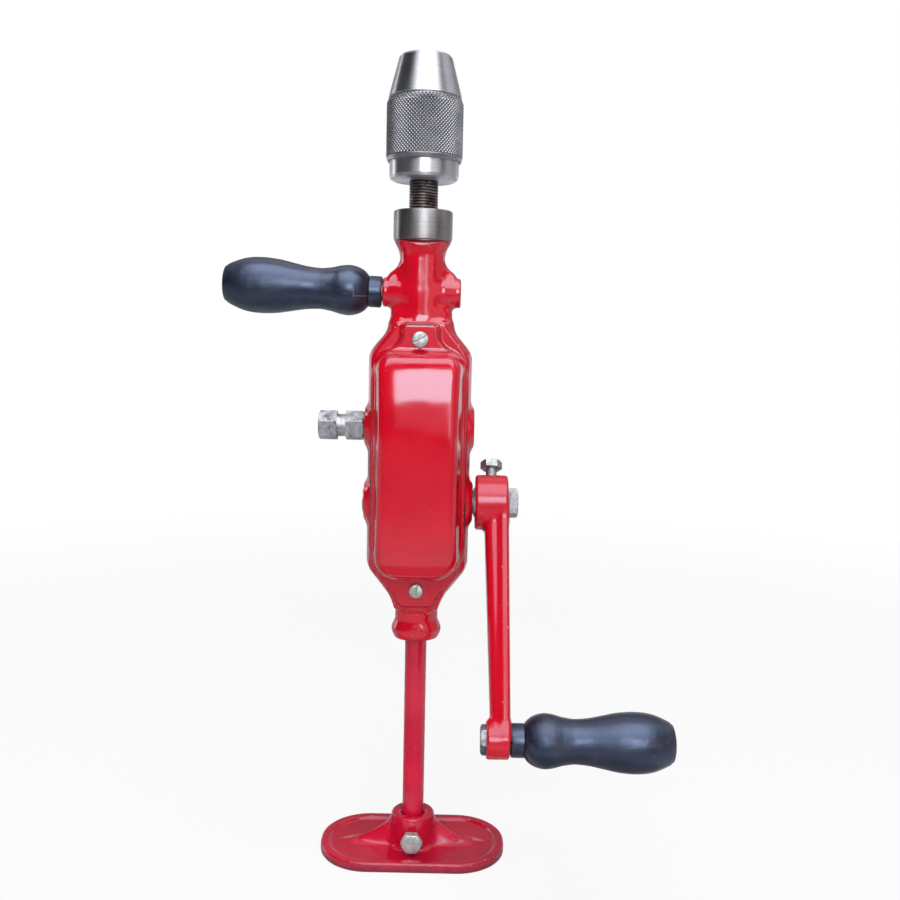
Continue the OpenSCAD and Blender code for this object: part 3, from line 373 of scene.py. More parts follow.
THROAT_W, THROAT_Y, THROAT_Z, THROAT_H = 17.6, 9.6, 312.0, 14.0
LOWER_Z, UPPER_Z, BOSS_R, BOSS_X, BOSS_CONE, BOSS_EASE, BUSH_R = 212.3, 255.8, 13.0, 31.5, 0.9, 0.74, 9.1
SIDE_Z, SIDE_R, SIDE_ROOT, SIDE_X, SIDE_FACE, SIDE_TILT = 332.3, 8.2, 1.6, 22.2, 2.5, math.radians(2.1)
STUD_R, STUD_DEEP, STUD_MOUTH = 5.0, 11.0, 0.9
WING_IN, WING_TOP, WING_RUN, WING_EASE, WING_T = 2.0, 349.0, 1.3, 0.61, 5.0
BEAD_R, BEAD_ROLL, BEAD_UP, BEAD_Z, BEAD_H = 14.5, 4.6, 5.0, 136.6, 4.9
LOWER_NECK_R, LOWER_NECK_Z, LOWER_NECK_H = 12.5, 148.0, 15.5
SPINDLE_HOLE_R, NECK_BUSH_R, LOW_BUSH_TOP, TOP_BUSH_LOW, PRESS_GAP = 7.6, 9.63, 300.75, 342.7, 0.02
SCREW_TOP_Z, SCREW_LOW_Z, SCREW_R, SCREW_END_Y = 305.85, 163.05, 2.4, -7.8
SEAT_PROUD, SEAT_RIM, SEAT_IN, SEAT_Y = 1.2, 1.3, 0.3, 2.0
COVER_W, TAB_TOP_W, TAB_LOW_W, COVER_TOP_Z, COVER_LOW_Z = 26.6, 9.7, 11.0, 314.05, 153.7
FLANGE_LOW, FLANGE_TOP, TAB_LOW_ROOT, TAB_TOP_ROOT = 160.0, 304.0, 190.0, 280.0
TOP_CUT_X, TOP_CUT_Z, TOP_CUT_RUN, LOW_CUT_X, LOW_CUT_Z, LOW_CUT_RUN = 14.5, 302.0, 1.2, 10.0, 155.0, 0.8


def step_up(value, low, high):
    """Eased share of the way between two heights."""
    t = np.clip((value - low) / (high - low), 0, 1)
    return t * t * (3 - 2 * t)


def leaning(out, height, run):
    """Distance from a flat face that goes in by run for each mm of height."""
    return (out + height * run) / math.hypot(1, run)


def screw_holes(x, z):
    """Distance from the middles of the two cover screws, seen from the front."""
    return either(np.hypot(x, z - SCREW_TOP_Z), np.hypot(x, z - SCREW_LOW_Z))


def cover_edge(x, z):
    """Distance from the outline of the cover's flange with its two screw tabs, seen from the front."""
    top = leaning(abs(x) - TOP_CUT_X, z - TOP_CUT_Z, TOP_CUT_RUN)
    low = leaning(abs(x) - LOW_CUT_X, z - LOW_CUT_Z, -LOW_CUT_RUN)
    body = meet(meet(round_box(x, z, COVER_W, FLANGE_LOW, FLANGE_TOP, 4.0), top, 7.0), low, 9.0)
    tab_top = round_box(x, z, TAB_TOP_W, TAB_TOP_ROOT, COVER_TOP_Z, 3.0)
    tab_low = round_box(x, z, TAB_LOW_W, COVER_LOW_Z, TAB_LOW_ROOT, 5.0)
    return join(join(body, tab_top, 7.0), tab_low, 5.0)


def case_form(x, y, z):
    """Gear case with the spindle's axis on Z and the cover's side towards -Y."""
    # Half-width of the box seen from the front: drawn in below and above with an S-curve
    taper = leaning(abs(x) - TAPER_W, z - TAPER_END_Z, -TAPER_SLOPE)
    high = CASE_W - (CASE_W - THROAT_W) * step_up(z, SHOULDER_LOW, SHOULDER_TOP)
    lean = np.where((z > SHOULDER_LOW) & (z < SHOULDER_TOP), SHOULDER_LEAN, 1.0)
    below = TAPER_END_Z - TIP_DROP - z
    tip = both(abs(x) - TAPER_W, below)
    drawn = CASE_DRAFT * np.clip((DRAFT_Y - y) / (DRAFT_Y - JOINT_Y), 0, 1)
    side = meet((abs(x) - high) * lean, join(taper, tip, 4.0), 3.0) + drawn
    box = meet(meet(side, both(z - BOX_TOP, below), 2.0), y - CASE_BACK, BACK_R)
    top_back = leaning(y - NECK_R, z - PAD_Z, BACK_RUN)
    low_back = leaning(y - LOW_BACK_Y, z - LOW_BACK_Z, -LOW_BACK_RUN)
    brow = (abs(x) - THROAT_W + (z - BROW_Z) * BROW_RUN - (y - BROW_Y) * BROW_RUN) / BROW_SPAN
    box = meet(meet(meet(box, top_back, 12.0), low_back, 12.0), brow, 3.0)
    # Round neck, throat under the bosses, bosses for the handles
    reach = np.hypot(x, y)
    flare = NECK_R + (NECK_TOP_R - NECK_R) * np.clip((z - FLARE_Z) / FLARE_H, 0, 1) ** FLARE_CURVE
    neck = both(meet((reach - flare) * FLARE_EASE, z - NECK_Z, 0.6), CEILING_Z - z)
    throat = meet(abs(x) - THROAT_W, abs(y) - THROAT_Y, 7.0)
    throat = meet(throat, abs(z - THROAT_Z) - THROAT_H, 6)
    root = SIDE_ROOT * np.clip((SIDE_X - SIDE_FACE - abs(x)) / (SIDE_X - SIDE_FACE - NECK_R), 0, 1)
    handle = meet(np.hypot(y, z - SIDE_Z) - SIDE_R - root, abs(x) - SIDE_X, 1.0)
    wing = (abs(x) - NECK_R + WING_IN - (WING_TOP - z) * WING_RUN) * WING_EASE
    wing = meet(wing, abs(y) - WING_T, 4.0)
    wing = meet(wing, both(abs(x) - SIDE_X + SIDE_FACE, SIDE_Z - z), 2.0)
    upper = join(join(neck, throat, 3.2), join(handle, wing, 2.0), 3.0)
    # Lower neck with its bead
    tail = both(reach - LOWER_NECK_R, abs(z - LOWER_NECK_Z) - LOWER_NECK_H)
    core = reach - BEAD_R + BEAD_ROLL
    bead = either(np.hypot(core, z - CASE_LOW - BEAD_UP) - BEAD_ROLL, both(core, abs(z - BEAD_Z) - BEAD_H))
    body = join(join(box, upper, 3.8), join(tail, bead, 2.4), 3.0)
    for height in (LOWER_Z, UPPER_Z):
        ring = np.hypot(y, z - height)
        boss = both((ring - BOSS_R + (abs(x) - CASE_W) * BOSS_CONE) * BOSS_EASE, ring - BOSS_R - 1)
        body = join(body, meet(boss, abs(x) - BOSS_X, 0.7), 2.6)
    # Rounded front edges, with a seat for the cover standing a little proud of them
    seat = both(cover_edge(x, z) - SEAT_RIM, side + SEAT_IN)
    seat = meet(meet(seat, JOINT_Y - y, 0.5), y - SEAT_Y, 1.0)
    body = join(meet(body, JOINT_Y + SEAT_PROUD - y, 1.9), seat, 0.9)
    # Hollow for the gears, bores for spindle, bushes, rod, handles and cover screws
    hollow = meet(abs(x) - CASE_W + CASE_WALL, both(FLOOR_Z - z, z - CEILING_Z), 8.0)
    hollow = meet(hollow, y - CASE_BACK + CASE_WALL, BACK_R - CASE_WALL)
    hollow = meet(hollow, top_back + CASE_WALL, 8.0)
    above = CEILING_Z - CEILING_HOLE - z
    spindle = both(reach - SPINDLE_HOLE_R, above)
    seats = both(reach - NECK_BUSH_R, either(z - LOW_BUSH_TOP, TOP_BUSH_LOW - z), above)
    rod_hole = both(reach - ROD_R - PRESS_GAP, z - ROD_TOP)
    shafts = either(np.hypot(y, z - LOWER_Z), np.hypot(y, z - UPPER_Z)) - BUSH_R - PRESS_GAP
    screws = both(screw_holes(x, z) - SCREW_R - BORE_GAP, y - SCREW_END_Y)
    tilt = z - SIDE_Z - np.where(x < 0, (-x - SIDE_X) * math.tan(SIDE_TILT), 0)
    stud = np.hypot(y, tilt) - STUD_R
    mouth = (stud - STUD_MOUTH + (SIDE_X - abs(x))) * math.sqrt(0.5)
    studs = either(both(stud, SIDE_X - STUD_DEEP - abs(x)), mouth)
    return meet(body, -either(hollow, spindle, seats, rod_hole, shafts, screws, studs), 0.5)


RED, DEEP_RED = (0.57, 0.0032, 0.0160), (0.50, 0.0024, 0.0130)
red = enamel("red_enamel", RED, DEEP_RED, 0.075)
case = cast("gear_case_casting", case_form, (-32.6, -15, 130.5), (32.6, 39.3, 361.8), 0.95)
settle(case, red, "frame", "red_enamel", "gear_case")

# Gear train: cut steel spur and bevel gears pinned on their shafts, running in oiled bronze bushes.
# It is closed in by the cover and only shows where the bushes come through the case.


def machined(name, pale, dark, rough):
    """Cut steel or bronze with fine tool marks and a film of oil."""
    material, surface, place = shader(name)
    film = grain(place, 7, 4)
    feed(surface, {"Base Color": blended(spread(film, 0.35, 0.65), pale, dark),
                   "Metallic": 1.0, "Roughness": spread(film, 0.3, 0.7, rough, rough + 0.15)})
    relief(surface, grain(place, 0.6, 1, (1, 6, 6)), 0.015)
    return material


gear_steel = machined("gear_steel", (0.50, 0.50, 0.50), (0.30, 0.29, 0.27), 0.28)
bush_bronze = machined("bush_bronze", (0.60, 0.42, 0.20), (0.36, 0.24, 0.11), 0.30)
dress(gear_steel, "spur_wheel", "spur_wheel_pin", "spur_pinion", "spur_pinion_pin", "bevel_gear",
      "bevel_gear_pin", "bevel_pinion", "bevel_pinion_pin", "thrust_race", "thrust_balls")
dress(bush_bronze, "neck_bush_top", "neck_bush_low", "upper_bush_left", "upper_bush_right",
      "lower_bush_left", "lower_bush_right", "bevel_washer")

# Cross shafts: steel bar with a hexagon turned at the corners and grooved for the crank bolt, zinc plated
# and stained. The crank sits on the lower one; the spare hexagon on the left gives the other speed.
shaft_zinc = zinc_plate("stained_zinc", (0.56, 0.57, 0.61), (0.30, 0.30, 0.33), 0.50)
dress(shaft_zinc, "upper_shaft", "lower_shaft")

# Cover: a domed casting with a slight crown and a thin flange, in the same red enamel. It closes the gears
# in, and two slotted screws hold its tabs to the case.
COVER_T, COVER_FRONT, COVER_HOLE_GAP = 3.0, -37.45, 0.3
DOME_W, DOME_LOW, DOME_TOP, DOME_MID, DOME_REACH = 25.6, 169.05, 300.05, 236.0, 60.0
DOME_R, DOME_INNER_R, DOME_TOP_CORNER, DOME_LOW_CORNER = 3.6, 2.0, 10.5, 15.5
DOME_DRAFT, HOLLOW_DRAFT = 4.4, 1.6
CROWN_SIDE, CROWN_END, CROWN_CORNER, CROWN_LIMIT = 1.7, 6.0, 0.9, 1.1


def dome(x, y, z, draft, wall):
    """Domed body of the cover with its walls leaning in by a draft, drawn in by a wall."""
    depth = (JOINT_Y - y) / (JOINT_Y - COVER_FRONT)
    corner = np.where(z < DOME_MID, DOME_LOW_CORNER, DOME_TOP_CORNER)
    edge = round_box(x, z, DOME_W, DOME_LOW, DOME_TOP, corner) + draft * depth + wall
    wide = x / DOME_W
    high = np.clip((z - DOME_MID) / DOME_REACH, -CROWN_LIMIT, CROWN_LIMIT)
    crown = CROWN_SIDE * wide ** 4 + CROWN_END * high ** 4 + CROWN_CORNER * wide ** 2 * high ** 2
    return meet(edge, COVER_FRONT + crown - y + wall, max(DOME_R - wall, DOME_INNER_R))


def cover_form(x, y, z):
    """Cover in the case's place, with its joint face on JOINT_Y."""
    flange = meet(cover_edge(x, z), abs(y - JOINT_Y + COVER_T / 2) - COVER_T / 2, 0.8)
    shell = join(flange, both(dome(x, y, z, DOME_DRAFT, 0.0), y - JOINT_Y), 1.6)
    holes = either(dome(x, y, z, HOLLOW_DRAFT, COVER_T), screw_holes(x, z) - SCREW_R - COVER_HOLE_GAP)
    return meet(meet(shell, y - JOINT_Y, 0.3), -holes, 0.4)


cover = cast("gear_cover_casting", cover_form, (-27.6, -38.4, 152.7), (27.6, -13.2, 315.1), 0.7)
settle(cover, red, "frame", "red_enamel", "gear_cover")

# Joint line: oil and dirt pressed out of the joint between cover and case, dried to a dark thread.
# It lies round the cover's flange, just in front of the joint.
JOINT_LINE_R, JOINT_LINE_OUT, RIM_POINTS, RIM_FAR, HALVINGS = 0.6, 0.25, 420, 120.0, 40


def rim_points(edge, middle, count):
    """Points round a front outline, found outwards from a middle height."""
    turns = np.arange(count) * 2 * math.pi / count
    dx, dz = np.sin(turns), np.cos(turns)
    near, far = np.zeros(count), np.full(count, RIM_FAR)
    for _ in range(HALVINGS):
        half = (near + far) / 2
        out = edge(dx * half, middle + dz * half) > 0
        far, near = np.where(out, half, far), np.where(out, near, half)
    return dx * near, middle + dz * near


def grown(name, tree, values, seed=None):
    """Runs a geometry tree with its named inputs and keeps the result as a plain mesh."""
    carrier = shown(name + "_seed", seed or bpy.data.meshes.new(name + "_seed"))
    run = carrier.modifiers.new(name, "NODES")
    run.node_group = tree
    for item in tree.interface.items_tree:
        if item.in_out == "INPUT" and item.name in values:
            run[item.identifier] = values[item.name]
    graph = bpy.context.evaluated_depsgraph_get()
    mesh = bpy.data.meshes.new_from_object(carrier.evaluated_get(graph), depsgraph=graph)
    carrier.modifiers.remove(run)
    bpy.data.objects.remove(carrier)
    mesh.name = name
    return shown(name, mesh)


def geometry_tree(name, inputs):
    """An empty geometry tree with named inputs; gives its inputs and its end."""
    tree = bpy.data.node_groups.new(name, "GeometryNodeTree")
    tree.interface.new_socket("Geometry", in_out="INPUT", socket_type="NodeSocketGeometry")
    for label, kind in inputs.items():
        tree.interface.new_socket(label, in_out="INPUT", socket_type="NodeSocket" + kind)
    tree.interface.new_socket("Geometry", in_out="OUTPUT", socket_type="NodeSocketGeometry")
    return tree.nodes.new("NodeGroupInput").outputs, tree.nodes.new("NodeGroupOutput")


def shaping(owner, kind, sockets=None, **settings):
    """What comes first out of a new geometry node."""
    return node(owner, kind, sockets, "GeometryNode", **settings).outputs[0]


def vector(x=0.0, y=0.0, z=0.0):
    """Three numbers in a tree as one vector."""
    return gathered("CombineXYZ", (x, y, z))


def close_tree(geometry, material, end):
    """Ends a geometry tree with real geometry in its material; gives the tree."""
    real = shaping(end, "RealizeInstances", {"Geometry": geometry})
    painted = shaping(end, "SetMaterial", {"Geometry": real, "Material": material})
    feed(end, {0: painted})
    return end.id_data


def sweep(path, sides, radius, caps=False):
    """A rod of round section along a line, shaded smooth."""
    section = shaping(path, "CurvePrimitiveCircle", {"Resolution": sides, "Radius": radius})
    swept = shaping(path, "CurveToMesh", {"Curve": path, "Profile Curve": section, "Fill Caps": caps})
    return shaping(path, "SetShadeSmooth", {0: swept})


def oil_dirt():
    """Dried oil: nearly black, patchy gloss."""
    material, surface, place = shader("dried_oil")
    cloud = grain(place, 12, 4)
    colour = blended(spread(cloud, 0.44, 0.60), (0.018, 0.006, 0.006), (0.30, 0.005, 0.012))
    feed(surface, {"Base Color": colour, "Roughness": spread(cloud, 0.3, 0.7, 0.35, 0.7)})
    relief(surface, grain(place, 1.2, 3), 0.1)
    return material


def beading(material):
    """A thread of round section laid along the edges of a line."""
    given, end = geometry_tree("joint_thread", {"Radius": "Float"})
    path = shaping(end, "MeshToCurve", {"Mesh": given["Geometry"]})
    return close_tree(sweep(path, 8, given["Radius"]), material, end)


rim_x, rim_z = rim_points(cover_edge, DOME_MID, RIM_POINTS)
rim = bpy.data.meshes.new("joint_path")
rim.from_pydata([(x * MM, (JOINT_Y - JOINT_LINE_OUT) * MM, z * MM) for x, z in zip(rim_x, rim_z)],
                [(i, (i + 1) % RIM_POINTS) for i in range(RIM_POINTS)], [])
dirt = oil_dirt()
joint = grown("joint_oil_line", beading(dirt), {"Radius": JOINT_LINE_R * MM}, rim)
settle(joint, dirt, "frame", "dark_steel")

# Cover screws: two cheese-head steel screws, slotted, bright zinc. They go through the cover's tabs into
# tapped holes in the case.
SCREW_HEAD_R, SCREW_HEAD_H, SCREW_CROWN, SCREW_SLOT_W, SCREW_SLOT_H, SCREW_L = 4.5, 2.6, 0.035, 1.2, 1.6, 8.0
SCREW_TURNS, SCREW_SIZES = (-30, -80), (1.0, 8 / 9)


def screw_form(x, y, z):
    """Screw along Z with the underside of its head on zero."""
    reach = np.hypot(x, y)
    head = meet(reach - SCREW_HEAD_R, both(z - SCREW_HEAD_H + SCREW_CROWN * reach ** 2, -z), 0.45)
    slot = both(abs(y) - SCREW_SLOT_W / 2, SCREW_HEAD_H - SCREW_SLOT_H - z)
    shank = both(reach - SCREW_R, -SCREW_L - z, z - 1)
    return either(meet(head, -slot, 0.15), shank)


def screwing(material):
    """Sets a screw on each point, turned by the point's own angle, head to the front."""
    given, end = geometry_tree("cover_screws", {"Screw": "Object"})
    info = node(end, "ObjectInfo", {"Object": given["Screw"]}, "GeometryNode").outputs["Geometry"]
    turn = shaping(end, "InputNamedAttribute", {"Name": "turn"}, data_type="FLOAT")
    size = shaping(end, "InputNamedAttribute", {"Name": "size"}, data_type="FLOAT")
    points = shaping(end, "MeshToPoints", {"Mesh": given["Geometry"]})
    placed = shaping(end, "InstanceOnPoints", {
        "Points": points, "Instance": info, "Rotation": vector(math.pi / 2, turn),
        "Scale": vector(size, size, 1.0)})
    return close_tree(placed, material, end)


model = cast("screw_model", screw_form, (-5, -5, -8.6), (5, 5, 3.2), 0.22)
spots = bpy.data.meshes.new("screw_spots")
spots.from_pydata([(0, (JOINT_Y - COVER_T) * MM, z * MM) for z in (SCREW_TOP_Z, SCREW_LOW_Z)], [], [])
for label, values in (("turn", [math.radians(a) for a in SCREW_TURNS]), ("size", SCREW_SIZES)):
    spots.attributes.new(label, "FLOAT", "POINT").data.foreach_set("value", values)
screws = grown("cover_screw_pair", screwing(bolt_zinc), {"Screw": model}, spots)
bpy.data.objects.remove(model)
settle(screws, bolt_zinc, "frame", "zinc_steel", "cover_screw_top", "cover_screw_low")

# Spindle: steel, ground where it runs in the neck and threaded at the nose, left dark with oil. The bright
# thrust collar is screwed down on it over the balls.
SPINDLE_R, SPINDLE_LOW, SPINDLE_CHAMFER = 7.0, 274.0, 0.6
NOSE_R, NOSE_END_R, NOSE_LOW, NOSE_TOP, NOSE_FOOT, NOSE_CHAMFER = 7.7, 6.8, 366.2, 408.4, 0.5, 1.0
THREAD_R, THREAD_CREST_R, THREAD_PITCH, THREAD_LOW, THREAD_TOP, RIDGE = 8.28, 8.25, 1.6, 376.6, 396.2, 0.62
COLLAR_R, COLLAR_LOW, COLLAR_RING_Z, COLLAR_TOP = 16.7, 361.2, 370.0, 377.8
COLLAR_FOOT = [(14.2, 0.2), (14.6, 0.0), (16.1, 0.0), (16.45, 0.4), (16.6, 1.2), (COLLAR_R, 3.0)]
COLLAR_HEAD = [(COLLAR_R, 1.0), (16.45, 0.4), (15.9, 0.0), (9.0, 0.0), (8.33, 0.7)]
COLLAR_BORE_R, RECESS_R, RECESS_Z = 8.33, 14.2, 365.6
BALL_R, BALL_RING_R, BALL_Z, GROOVE_ANGLES = 2.05, 10.375, 364.15, (135, 113, 90, 67, 45)


def from_axis(place):
    """The three parts of a place in a tree, and its distance from Z."""
    axes = node(place, "SeparateXYZ", {0: place}).outputs
    squares = sums("ADD", times(axes[0], axes[0]), times(axes[1], axes[1]))
    return axes, sums("SQRT", squares)


def turned_steel(name, pale, dark, rough, lines):
    """Steel finished on the lathe: fine rings round Z, a soft film of handling marks."""
    material, surface, place = shader(name)
    axes, reach = from_axis(place)
    along = times(sums("ADD", axes[2], reach), 1 / MM)
    rings = node(place, "TexNoise", {"W": along, "Scale": lines, "Detail": 1.0},
                 noise_dimensions="1D").outputs["Fac"]
    film = grain(place, 14, 2, (1, 1, 0.6))
    marks = grain(place, 11, 2)
    share = sums("ADD", times(rings, 0.5), times(film, 0.6))
    tangent = node(place, "Tangent", direction_type="RADIAL", axis="Z").outputs[0]
    feed(surface, {"Base Color": blended(spread(share, 0.35, 0.8), dark, pale),
                   "Metallic": 1.0, "Anisotropic": 0.85, "Anisotropic Rotation": 0.25, "Tangent": tangent,
                   "Roughness": spread(marks, 0.3, 0.7, rough, rough + 0.07)})
    relief(surface, rings, 0.002)
    return material


def thread_steel():
    """Dark oiled thread, rubbed brighter and browner on its crests."""
    material, surface, place = shader("dark_thread")
    crest = spread(from_axis(place)[1], NOSE_R * MM, THREAD_CREST_R * MM)
    rub = times(crest, spread(grain(place, 5, 4), 0.35, 0.65))
    rough = spread(grain(place, 3, 3), 0.3, 0.7, 0.30, 0.5)
    feed(surface, {"Base Color": blended(rub, (0.030, 0.026, 0.025), (0.36, 0.29, 0.27)),
                   "Metallic": 0.85, "Roughness": rough})
    relief(surface, grain(place, 0.7, 2), 0.02)
    return material


def threading(material):
    """A screw thread: a ridge wound round the nose."""
    labels = ("Turns", "Radius", "Height", "Start", "Ridge")
    given, end = geometry_tree("nose_thread", dict.fromkeys(labels, "Float"))
    turns, radius, height, start, ridge = [given[label] for label in labels]
    wound = shaping(end, "CurveSpiral", {"Resolution": 48, "Rotations": turns, "Start Radius": radius,
                                         "End Radius": radius, "Height": height})
    raised = shaping(end, "SetPosition", {"Geometry": wound, "Offset": vector(z=start)})
    upright = shaping(end, "SetCurveNormal", {"Curve": raised})
    return close_tree(sweep(upright, 6, ridge, True), material, end)


dark_thread = thread_steel()
spindle_line = [(0, SPINDLE_LOW), (SPINDLE_R - SPINDLE_CHAMFER, SPINDLE_LOW),
                (SPINDLE_R, SPINDLE_LOW + SPINDLE_CHAMFER), (SPINDLE_R, NOSE_LOW - NOSE_FOOT),
                (NOSE_R, NOSE_LOW), (NOSE_R, NOSE_TOP - NOSE_CHAMFER), (NOSE_END_R, NOSE_TOP), (0, NOSE_TOP)]
spindle = turned("spindle_bar", spindle_line)
settle(spindle, dark_thread, "spindle", "dark_steel", "spindle")
thread = grown("spindle_thread", threading(dark_thread), {
    "Turns": (THREAD_TOP - THREAD_LOW) / THREAD_PITCH, "Radius": (THREAD_R - RIDGE) * MM,
    "Height": (THREAD_TOP - THREAD_LOW) * MM, "Start": THREAD_LOW * MM, "Ridge": RIDGE * MM})
settle(thread, dark_thread, "spindle", "dark_steel")

collar_steel = turned_steel("bright_collar", (0.37, 0.355, 0.36), (0.27, 0.26, 0.265), 0.41, 1.3)
collar_line = [(r, COLLAR_LOW + up) for r, up in COLLAR_FOOT] + [(COLLAR_R, COLLAR_RING_Z)]
collar_line += [(r, COLLAR_TOP - down) for r, down in COLLAR_HEAD] + [(COLLAR_BORE_R, RECESS_Z)]
collar_line += [(BALL_RING_R + BALL_R * math.cos(a), BALL_Z + BALL_R * math.sin(a))
                for a in np.radians(GROOVE_ANGLES)]
collar = turned("thrust_collar_ring", collar_line + [(RECESS_R, RECESS_Z)], ring=True)
settle(collar, collar_steel, "spindle", "turned_steel", "thrust_collar")

# Chuck: turned steel body with a bright cone, three leaning jaws behind its mouth, and a sleeve with a
# rolled diamond knurl that turns the split nut on the backs of the jaws. It screws on the spindle's nose.
CHUCK_R, SLEEVE_R, SLEEVE_LOW, SLEEVE_RING_Z, SLEEVE_TOP = 19.5, 21.5, 404.5, 420.0, 439.0
SLEEVE_FOOT = [(19.55, 0.3), (19.85, 0.0), (20.3, 0.0), (20.7, 0.3), (21.25, 2.2)]
SLEEVE_BORE_R, SLEEVE_END_R, SLEEVE_NOSE, SLEEVE_LIP, RING_TOP = 19.55, CHUCK_R + 0.5, 3.0, 0.8, 2.7
NOSE_SLOPE = (SLEEVE_R - CHUCK_R - SLEEVE_LIP) / SLEEVE_NOSE
KNURL_DEEP, KNURL_ROUND, KNURL_ROWS, KNURL_LOW, KNURL_TOP, KNURL_POINT = 0.5, 66, 31, 407.6, 438.2, 0.16
chuck_steel = turned_steel("bright_chuck", (0.60, 0.61, 0.65), (0.48, 0.49, 0.53), 0.34, 1.1)
dress(chuck_steel, "chuck_body", "chuck_jaw_1", "chuck_jaw_2", "chuck_jaw_3")
dress(bush_bronze, "chuck_nut")


def knurl_steel():
    """Grey knurled steel: bright on the points of the diamonds and the plain ring below them, dirt in the
    valleys."""
    material, surface, place = shader("knurled_steel")
    axes, reach = from_axis(place)
    drop = sums("MAXIMUM", sums("SUBTRACT", axes[2], (SLEEVE_TOP - SLEEVE_NOSE) * MM), 0.0)
    level = sums("ADD", reach, times(drop, NOSE_SLOPE))
    point = spread(level, (SLEEVE_R - KNURL_DEEP) * MM, SLEEVE_R * MM)
    plain = spread(axes[2], (KNURL_LOW - 0.6) * MM, (KNURL_LOW - 1.0) * MM)
    point = sums("MAXIMUM", point, plain)
    film = grain(place, 9, 4)
    base = blended(spread(film, 0.35, 0.65), (0.25, 0.255, 0.29), (0.36, 0.36, 0.39))
    colour = blended(spread(point, 0.0, 0.4), (0.11, 0.105, 0.10), base)
    feed(surface, {"Base Color": colour, "Metallic": 1.0, "Roughness": spread(film, 0.3, 0.7, 0.30, 0.44)})
    relief(surface, grain(place, 0.7, 2), 0.01)
    return material


def knurling(material):
    """A diamond knurl: low pyramids set in staggered rows round the sleeve, drawn in at its front end."""
    kinds = {"Around": "Int", "Rows": "Int"}
    kinds.update(dict.fromkeys(("Low", "Pitch", "Radius", "Deep", "Nose", "Nose Slope"), "Float"))
    given, end = geometry_tree("diamond_knurl", kinds)
    around, rows, low, pitch, radius, deep, nose, fall = [given[label] for label in kinds]
    index = shaping(end, "InputIndex")
    row = sums("FLOOR", sums("DIVIDE", sums("ADD", index, 0.5), around))
    column = sums("SUBTRACT", index, times(row, around))
    shift = times(sums("MODULO", row, 2.0), 0.5)
    turn = sums("DIVIDE", 2 * math.pi, around)
    angle = times(sums("ADD", column, shift), turn)
    height = sums("ADD", low, times(row, pitch))
    drop = sums("MAXIMUM", sums("SUBTRACT", height, nose), 0.0)
    foot = sums("SUBTRACT", sums("SUBTRACT", radius, deep), times(drop, fall))
    spot = vector(times(foot, sums("COSINE", angle)), times(foot, sums("SINE", angle)), height)
    points = shaping(end, "Points", {"Count": times(around, rows), "Position": spot})
    pyramid = shaping(end, "MeshCone", {"Vertices": 4, "Radius Top": KNURL_POINT, "Radius Bottom": 1.0,
                                        "Depth": 1.0})
    lean = times(sums("GREATER_THAN", drop, 0.0), sums("ARCTANGENT", fall))
    facing = vector(y=sums("SUBTRACT", math.pi / 2, lean), z=angle)
    across = times(times(turn, 0.5), radius)
    diamonds = shaping(end, "InstanceOnPoints", {"Points": points, "Instance": pyramid, "Rotation": facing,
                                                 "Scale": vector(pitch, across, deep)})
    return close_tree(diamonds, material, end)


knurl_finish = knurl_steel()
knurl_pitch = (KNURL_TOP - KNURL_LOW) / (KNURL_ROWS - 1)
knurl = grown("sleeve_knurl", knurling(knurl_finish), {
    "Around": KNURL_ROUND, "Rows": KNURL_ROWS, "Low": KNURL_LOW * MM, "Pitch": knurl_pitch * MM,
    "Radius": SLEEVE_R * MM, "Deep": KNURL_DEEP * MM, "Nose": (SLEEVE_TOP - SLEEVE_NOSE) * MM,
    "Nose Slope": NOSE_SLOPE})
settle(knurl, knurl_finish, "chuck_sleeve", "knurled_steel")
valley_heights = (SLEEVE_LOW + RING_TOP, SLEEVE_RING_Z, SLEEVE_TOP - SLEEVE_NOSE)
sleeve_line = [(r, SLEEVE_LOW + up) for r, up in SLEEVE_FOOT]
sleeve_line += [(SLEEVE_R - KNURL_DEEP, z) for z in valley_heights]
sleeve_line += [(SLEEVE_END_R, SLEEVE_TOP), (SLEEVE_BORE_R, SLEEVE_TOP)]
sleeve = turned("chuck_sleeve_ring", sleeve_line, ring=True)
settle(sleeve, knurl_finish, "chuck_sleeve", "knurled_steel", "chuck_sleeve")

# Crank: an iron casting in red enamel with a thick hub bored to the hexagon, a ribbed arm and an eye for
# the grip's pin. A long hex head bolt in the hub locks it in the shaft's groove.
CRANK_SWING, CRANK_R = math.radians(-30), 134.0
HUB_X0, HUB_X1, HUB_R, EYE_X0, EYE_X1, EYE_R = 33.1, 51.9, 16.0, 40.1, 52.5, 10.0
ARM_W0, ARM_W1, ARM_T0, ARM_T1, FLANGE_T, WEB, WEB_IN = 12.0, 8.5, 13.6, 10.0, 4.2, 0.84, 1.0
HEX_AF, HEX_GAP, HEX_REACH, GRIP_PIN_R = 15.2, 0.26, 12.0, 4.5
crank_place = Matrix.Translation((0, 0, LOWER_Z)) @ Matrix.Rotation(CRANK_SWING, 4, "X")


